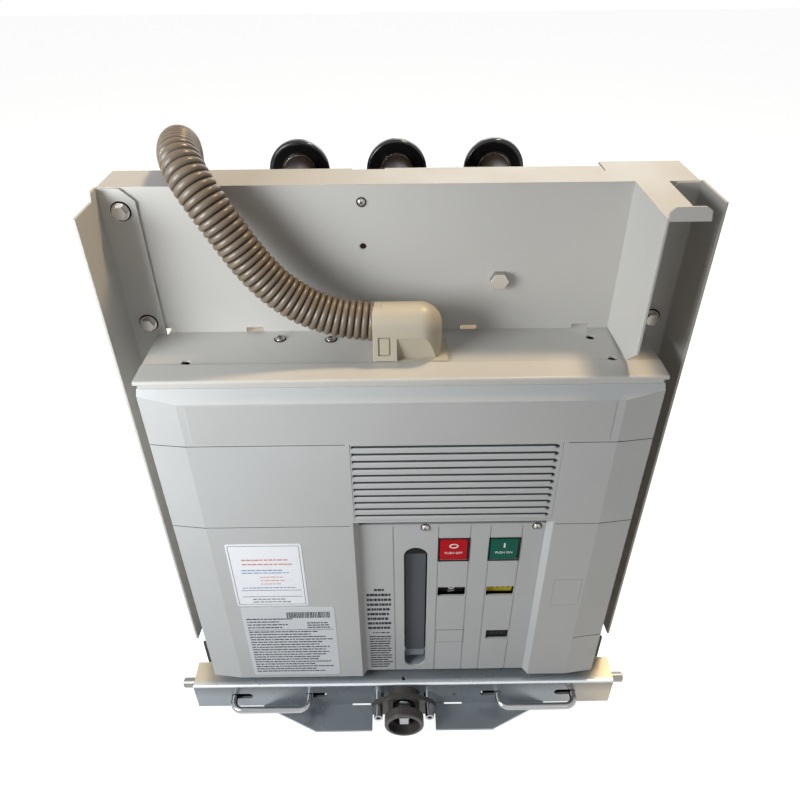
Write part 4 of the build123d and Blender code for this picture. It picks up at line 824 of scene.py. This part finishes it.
class BREAKER_OT_marks(bpy.types.Operator):
    """Frames, printed marks and plain words on the buttons, windows and counter"""

    bl_idname = "breaker.marks"
    bl_label = "Marks"

    def execute(self, context):
        size = context.scene.breaker_fascia.mark
        rim = 0.0017
        bm = bmesh.new()
        for low, high in ((OFF_LOW, OFF_HIGH), (ON_LOW, ON_HIGH)):
            ring_plate(bm, (low[0] - rim, low[2] - rim), (high[0] + rim, high[2] + rim),
                       PANEL_FACE - 0.0006, 0.0007, 0.0014)
        add_piece("button_frames", bm, "black")
        marks = {"off": (OFF_LOW, OFF_HIGH, "off_button", "PUSH OFF"),
                 "on": (ON_LOW, ON_HIGH, "on_button", "PUSH ON")}
        for name, (low, high, body, words) in marks.items():
            x = (low[0] + high[0]) / 2
            z = high[2] - (high[2] - low[2]) * 0.30
            bm = bmesh.new()
            if name == "off":
                ring_mark(bm, x, low[1] - 0.0001, z, size * 1.45, size, size * 0.19)
            else:
                across, up = size * 0.14, size / 2
                block(bm, (x - across, low[1] - INK, z - up), (x + across, low[1], z + up))
            add_piece(name + "_mark", bm, "print", body)
            place = (x, low[1] - INK / 2, low[2] + (high[2] - low[2]) * 0.36)
            lettering(name + "_words", words, place, WORD_HEIGHT, "print", body)
        self.drum_marks(size)
        low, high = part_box("operation_counter")
        place = ((low[0] + high[0]) / 2, low[1] - INK / 2, (low[2] + high[2]) / 2)
        lettering("counter_digits", "00418", place, DIGIT_HEIGHT, "vent")
        self.spare_window()
        return {"FINISHED"}

    def drum_marks(self, size):
        """O and OFF on the black drum; coils and a black band on the yellow flag."""
        low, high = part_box("position_indicator")
        x = (low[0] + high[0]) / 2
        above, below = 0.0020, 0.0050
        place = (x, drum_front(above) - INK, DRUM_MIDDLE[1] + above)
        bm = bmesh.new()
        ring_mark(bm, *place, size * 1.15, size * 0.9, size * 0.19)
        add_piece("position_mark", bm, "print", "position_indicator")
        place = (x, drum_front(below) - INK / 2, DRUM_MIDDLE[1] - below)
        lettering("position_words", "OFF", place, WORD_HEIGHT, "plate", "position_indicator")
        low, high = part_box("spring_indicator")
        bm = bmesh.new()
        step = 0.0028
        coils = 8
        start = (low[0] + high[0]) / 2 - step * coils / 2
        for index in range(coils):
            offset = 0.0012 if index % 2 else 0.0024
            x = start + index * step
            y = drum_front(offset) - INK
            z = DRUM_MIDDLE[1] + offset
            block(bm, (x, y, z - 0.0013), (x + 0.0020, y + 0.0004, z + 0.0013))
        band = DRUM_MIDDLE[1] - 0.0090
        y = drum_front(0.0078) - 0.0004
        block(bm, (low[0] + 0.0002, y, band - 0.0018), (high[0] - 0.0002, y + 0.0010, band + 0.0018))
        add_piece("spring_mark", bm, "black", "spring_indicator", smooth=0)

    def spare_window(self):
        """Blank cover of an unused window, and the gap round it."""
        low, high = SPARE_WINDOW
        bm = bmesh.new()
        block(bm, (low[0], PANEL_FACE - 0.0004, low[1]), (high[0], PANEL_FACE + 0.0003, high[1]))
        add_piece("spare_window", bm, "panel", smooth=0)
        bm = bmesh.new()
        ring_plate(bm, (low[0] - 0.0003, low[1] - 0.0007), (high[0] + 0.0003, high[1] + 0.0004),
                   PANEL_FACE - 0.0002, 0.0004, 0.0006)
        add_piece("spare_window_gap", bm, "vent", smooth=0)


def slope_section(bm, x, base, height):
    """The end face of a thin dark slab of painted shade on the upper part of a louvre's slope."""
    profile = [(share * LOUVRE_DEPTH - lift, base + share * height) for share, lift in
               ((LOUVRE_SHADE_START, 0.0003), (1.0, 0.0003), (1.0, 0.0001), (LOUVRE_SHADE_START, 0.0001))]
    verts = [bm.verts.new((x, GRILLE_LOW[1] + depth, z)) for depth, z in profile]
    return bm.faces.new(verts)


class BREAKER_OT_grille(bpy.types.Operator):
    """Painted shade: dark slabs in the upper part of every louvre, turned down at their right ends"""

    bl_idname = "breaker.grille"
    bl_label = "Grille"

    def execute(self, context):
        low, high = GRILLE_LOW[2] - 0.0002, GRILLE_HIGH[2] + 0.0002
        pitch = (high - low - 0.001) / LOUVRES
        height = pitch * LOUVRE_SHARE
        left = GRILLE_LOW[0] + 0.0013
        right = GRILLE_HIGH[0] + 0.0002 - 0.0025 - LOUVRE_HOOK - height
        bm = bmesh.new()
        for index in range(LOUVRES):
            base = high - 0.0015 - index * pitch - height
            face = slope_section(bm, left, base, height)
            moved = bmesh.ops.extrude_face_region(bm, geom=[face])["geom"]
            bmesh.ops.translate(bm, verts=[item for item in moved if isinstance(item, bmesh.types.BMVert)],
                                vec=(right - left, 0, 0))
            face = slope_section(bm, right, base, height)
            bmesh.ops.spin(bm, geom=[face, *face.edges, *face.verts], cent=(right, 0, base - LOUVRE_HOOK),
                           axis=(0, 1, 0), angle=math.radians(90), steps=8)
        bmesh.ops.holes_fill(bm, edges=[edge for edge in bm.edges if edge.is_boundary])
        add_piece("louvre_shade_slabs", bm, "vent", smooth=0)
        return {"FINISHED"}


class BREAKER_OT_fasteners(bpy.types.Operator):
    """Domed screw heads, with painted shade in each cross recess and painted shadow rings round screws and
    bolts
    """

    bl_idname = "breaker.fasteners"
    bl_label = "Fasteners"

    def execute(self, context):
        heads, painted_shade_marks = bmesh.new(), bmesh.new()
        for place, radius, rise in SCREWS:
            on_deck = place[2] == DECK_TOP
            outward = Matrix.Translation(place) if on_deck else facing_front(*place)
            skirt, dome = rise * HEAD_SKIRT, rise * (1 - HEAD_SKIRT)
            verts = round_bar(heads, radius, skirt, raised(outward, skirt / 2))
            verts += round_bar(heads, radius * 0.96, dome, raised(outward, skirt + dome / 2),
                               radius_end=radius * 0.55)
            soften(heads, radius * 0.16, 3, verts=verts)
            # Two black bars in each head: painted shade in the cross recess.
            for turn in RECESS_TURNS:
                slot = block(painted_shade_marks, (-radius * 0.52, -radius * 0.11, rise * 0.9),
                             (radius * 0.52, radius * 0.11, rise + 0.0001))
                turned = outward @ Matrix.Rotation(math.radians(turn), 4, "Z")
                bmesh.ops.transform(painted_shade_marks, matrix=turned, verts=slot)
            # A black disc just wider than the head, under it: a painted shadow ring.
            round_bar(painted_shade_marks, radius + 0.0009, 0.0003, raised(outward, 0.0001))
        # Black discs behind the bolts: painted shadow rings.
        for x, z, radius in BOLTS:
            round_bar(painted_shade_marks, radius, 0.0006, facing_front(x, WASHER_FACE, z))
        screws = add_piece("screw_heads", heads, "bolt")
        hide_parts("panel_screws")
        add_piece("fastener_painted_shade", painted_shade_marks, "black", smooth=0)
        return {"FINISHED"}


class BREAKER_OT_slot_shade(bpy.types.Operator):
    """Black sheets in the beam under and behind the lock bars: painted shade seen through the slots"""

    bl_idname = "breaker.trays"
    bl_label = "Slot shade"

    def execute(self, context):
        bm = bmesh.new()
        back = BEAM_FACE + 0.0300
        for side in (-1, 1):
            left, right = sorted(side * reach for reach in SLOT_SHADE_REACH)
            block(bm, (left, BEAM_FACE + 0.0034, 0.0312), (right, back, 0.0320))
            block(bm, (left, back - 0.0015, 0.0320), (right, back, 0.0560))
        add_piece("lock_slot_shade", bm, "black", "crossbeam", smooth=0)
        return {"FINISHED"}


def side_seam(bm, z, side):
    """A thin dark line across one of the cover's sloping sides."""
    verts = block(bm, (SIDE_KINK, -INK / 2, z - SEAM_HALF), (COVER_HIGH[0] - 0.0004, INK / 2, z + SEAM_HALF))
    for vert in verts:
        vert.co.y += COVER_FACE + (vert.co.x - SIDE_KINK) * SIDE_SLOPE
        vert.co.x *= side


class BREAKER_OT_seams(bpy.types.Operator):
    """Dark lines in the cover's seams, and the faint outline of a knock-out"""

    bl_idname = "breaker.seams"
    bl_label = "Seams"

    def execute(self, context):
        bm = bmesh.new()
        beside = 0.0042
        for z in SEAM_HEIGHTS:
            for left, right in ((-SIDE_KINK, GRILLE_LOW[0] - beside), (GRILLE_HIGH[0] + beside, SIDE_KINK)):
                block(bm, (left, COVER_FACE + INK / 2, z - SEAM_HALF),
                      (right, COVER_FACE + INK * 2, z + SEAM_HALF))
            for side in (-1, 1):
                side_seam(bm, z, side)
        side_seam(bm, RIGHT_SEAM_HEIGHT, 1)
        add_piece("side_seams", bm, "vent", smooth=0)
        bm = bmesh.new()
        ring_plate(bm, *KNOCKOUT, COVER_FACE - INK / 2, INK, 0.0004)
        add_piece("knockout_outline", bm, "strip", smooth=0)
        return {"FINISHED"}


def seen_rays(tree):
    """1 for camera, glossy and transmission rays, and 0 for all others."""
    rays = tree.nodes.new("ShaderNodeLightPath")
    result = rays.outputs["Is Camera Ray"]
    for other in ("Is Glossy Ray", "Is Transmission Ray"):
        either = tree.nodes.new("ShaderNodeMath")
        either.operation = "MAXIMUM"
        tree.links.new(result, either.inputs[0])
        tree.links.new(rays.outputs[other], either.inputs[1])
        result = either.outputs["Value"]
    return result


def white_seen(tree, plain, strength):
    """Background that is white where it is seen or mirrored, and a soft light elsewhere."""
    nodes, links = tree.nodes, tree.links
    white = nodes.new("ShaderNodeBackground")
    white.inputs["Color"].default_value = (1, 1, 1, 1)
    light = nodes.new("ShaderNodeBackground")
    light.inputs["Color"].default_value = (*plain, 1)
    light.inputs["Strength"].default_value = strength
    mix = nodes.new("ShaderNodeMixShader")
    links.new(seen_rays(tree), mix.inputs["Fac"])
    links.new(light.outputs["Background"], mix.inputs[1])
    links.new(white.outputs["Background"], mix.inputs[2])
    links.new(mix.outputs["Shader"], nodes["World Output"].inputs["Surface"])


def area_lamp(name, place, target, size, power, tone):
    """A soft lamp that faces a point."""
    light = bpy.data.lights.new(name, "AREA")
    light.size = size
    light.energy = power
    light.color = tone
    lamp = bpy.data.objects.new(name, light)
    lamp.location = place
    lamp.rotation_euler = (Vector(target) - Vector(place)).to_track_quat("-Z", "Y").to_euler()
    bpy.context.collection.objects.link(lamp)


def floor_paint(tone, lift):
    """Matt floor that adds white where it is seen or mirrored and keeps the shadow."""
    paint = bpy.data.materials.new("floor_paint")
    paint.use_nodes = True
    nodes, links = paint.node_tree.nodes, paint.node_tree.links
    shader = nodes["Principled BSDF"]
    shader.inputs["Base Color"].default_value = (*tone, 1)
    shader.inputs["Roughness"].default_value = 1.0
    shader.inputs["Specular IOR Level"].default_value = 0.0
    glow = nodes.new("ShaderNodeEmission")
    strength = nodes.new("ShaderNodeMath")
    strength.operation = "MULTIPLY"
    strength.inputs[1].default_value = lift
    links.new(seen_rays(paint.node_tree), strength.inputs[0])
    links.new(strength.outputs["Value"], glow.inputs["Strength"])
    both = nodes.new("ShaderNodeAddShader")
    links.new(shader.outputs["BSDF"], both.inputs[0])
    links.new(glow.outputs["Emission"], both.inputs[1])
    links.new(both.outputs["Shader"], nodes["Material Output"].inputs["Surface"])
    return paint


def studio_floor(stage):
    """A wide plain floor just under the wheels."""
    bm = bmesh.new()
    bmesh.ops.create_grid(bm, x_segments=1, y_segments=1, size=6.0,
                          matrix=Matrix.Translation((0, 0, CAD_BOX[0][2] - 0.0005)))
    mesh = bpy.data.meshes.new("studio_floor")
    bm.to_mesh(mesh)
    bm.free()
    mesh.materials.append(floor_paint(stage.floor_tone, stage.floor_lift))
    floor = bpy.data.objects.new("studio_floor", mesh)
    bpy.context.collection.objects.link(floor)


def studio_camera(stage):
    """Camera turned by its yaw and pitch, and leaned by its roll."""
    pitch, yaw, roll = (math.radians(value) for value in (stage.pitch, stage.yaw, stage.roll))
    ahead = Vector((math.sin(yaw) * math.cos(pitch), math.cos(yaw) * math.cos(pitch), -math.sin(pitch)))
    level = Vector((math.cos(yaw), -math.sin(yaw), 0))
    above = level.cross(ahead)
    right = level * math.cos(roll) + above * math.sin(roll)
    up = above * math.cos(roll) - level * math.sin(roll)
    camera = bpy.data.objects.new("camera", bpy.data.cameras.new("camera"))
    camera.data.lens = stage.lens
    camera.data.sensor_width = 36.0
    camera.data.clip_start = 0.01
    turned = Matrix((right, up, -ahead)).transposed().to_4x4()
    camera.matrix_world = Matrix.Translation(stage.camera_place) @ turned
    bpy.context.collection.objects.link(camera)
    return camera


class BREAKER_OT_stage(bpy.types.Operator):
    """Floor, lamps, world and camera"""

    bl_idname = "breaker.stage"
    bl_label = "Stage"

    def execute(self, context):
        stage = context.scene.breaker_stage
        studio_floor(stage)
        world = bpy.data.worlds.new("studio")
        world.use_nodes = True
        world.node_tree.nodes.remove(world.node_tree.nodes["Background"])
        white_seen(world.node_tree, WORLD_TONE, WORLD_STRENGTH)
        context.scene.world = world
        for name, (place, target, size, power, tone) in LAMPS.items():
            area_lamp(name, place, target, size, power, tone)
        context.scene.camera = studio_camera(stage)
        context.scene.view_settings.view_transform = "Standard"
        return {"FINISHED"}


class BREAKER_PT_panel(bpy.types.Panel):
    """Operators of the breaker, in order"""

    bl_idname = "BREAKER_PT_panel"
    bl_label = "Breaker"
    bl_space_type = "VIEW_3D"
    bl_region_type = "UI"
    bl_category = "Breaker"

    def draw(self, context):
        for operator in OPERATORS:
            self.layout.operator(operator.bl_idname)
        for group in (context.scene.breaker_hose, context.scene.breaker_fascia, context.scene.breaker_stage):
            for name in group.__annotations__:
                self.layout.prop(group, name)


OPERATORS = (BREAKER_OT_finishes, BREAKER_OT_hose, BREAKER_OT_labels, BREAKER_OT_marks, BREAKER_OT_grille,
             BREAKER_OT_fasteners, BREAKER_OT_slot_shade, BREAKER_OT_seams, BREAKER_OT_stage)
GROUPS = {"breaker_hose": BreakerHose, "breaker_fascia": BreakerFascia, "breaker_stage": BreakerStage}


def register():
    """Register the settings, the operators and the panel."""
    for group in GROUPS.values():
        bpy.utils.register_class(group)
    for name, group in GROUPS.items():
        setattr(bpy.types.Scene, name, PointerProperty(type=group))
    for shown in (*OPERATORS, BREAKER_PT_panel):
        bpy.utils.register_class(shown)


def unregister():
    """Take them all away again."""
    for shown in reversed((*OPERATORS, BREAKER_PT_panel)):
        bpy.utils.unregister_class(shown)
    for name, group in GROUPS.items():
        delattr(bpy.types.Scene, name)
        bpy.utils.unregister_class(group)


def main():
    """Dress the frame."""
    register()
    bpy.ops.breaker.finishes()
    bpy.ops.breaker.hose()
    bpy.ops.breaker.labels()
    bpy.ops.breaker.marks()
    bpy.ops.breaker.grille()
    bpy.ops.breaker.fasteners()
    bpy.ops.breaker.trays()
    bpy.ops.breaker.seams()
    bpy.ops.breaker.stage()


if __name__ == "__main__":
    main()
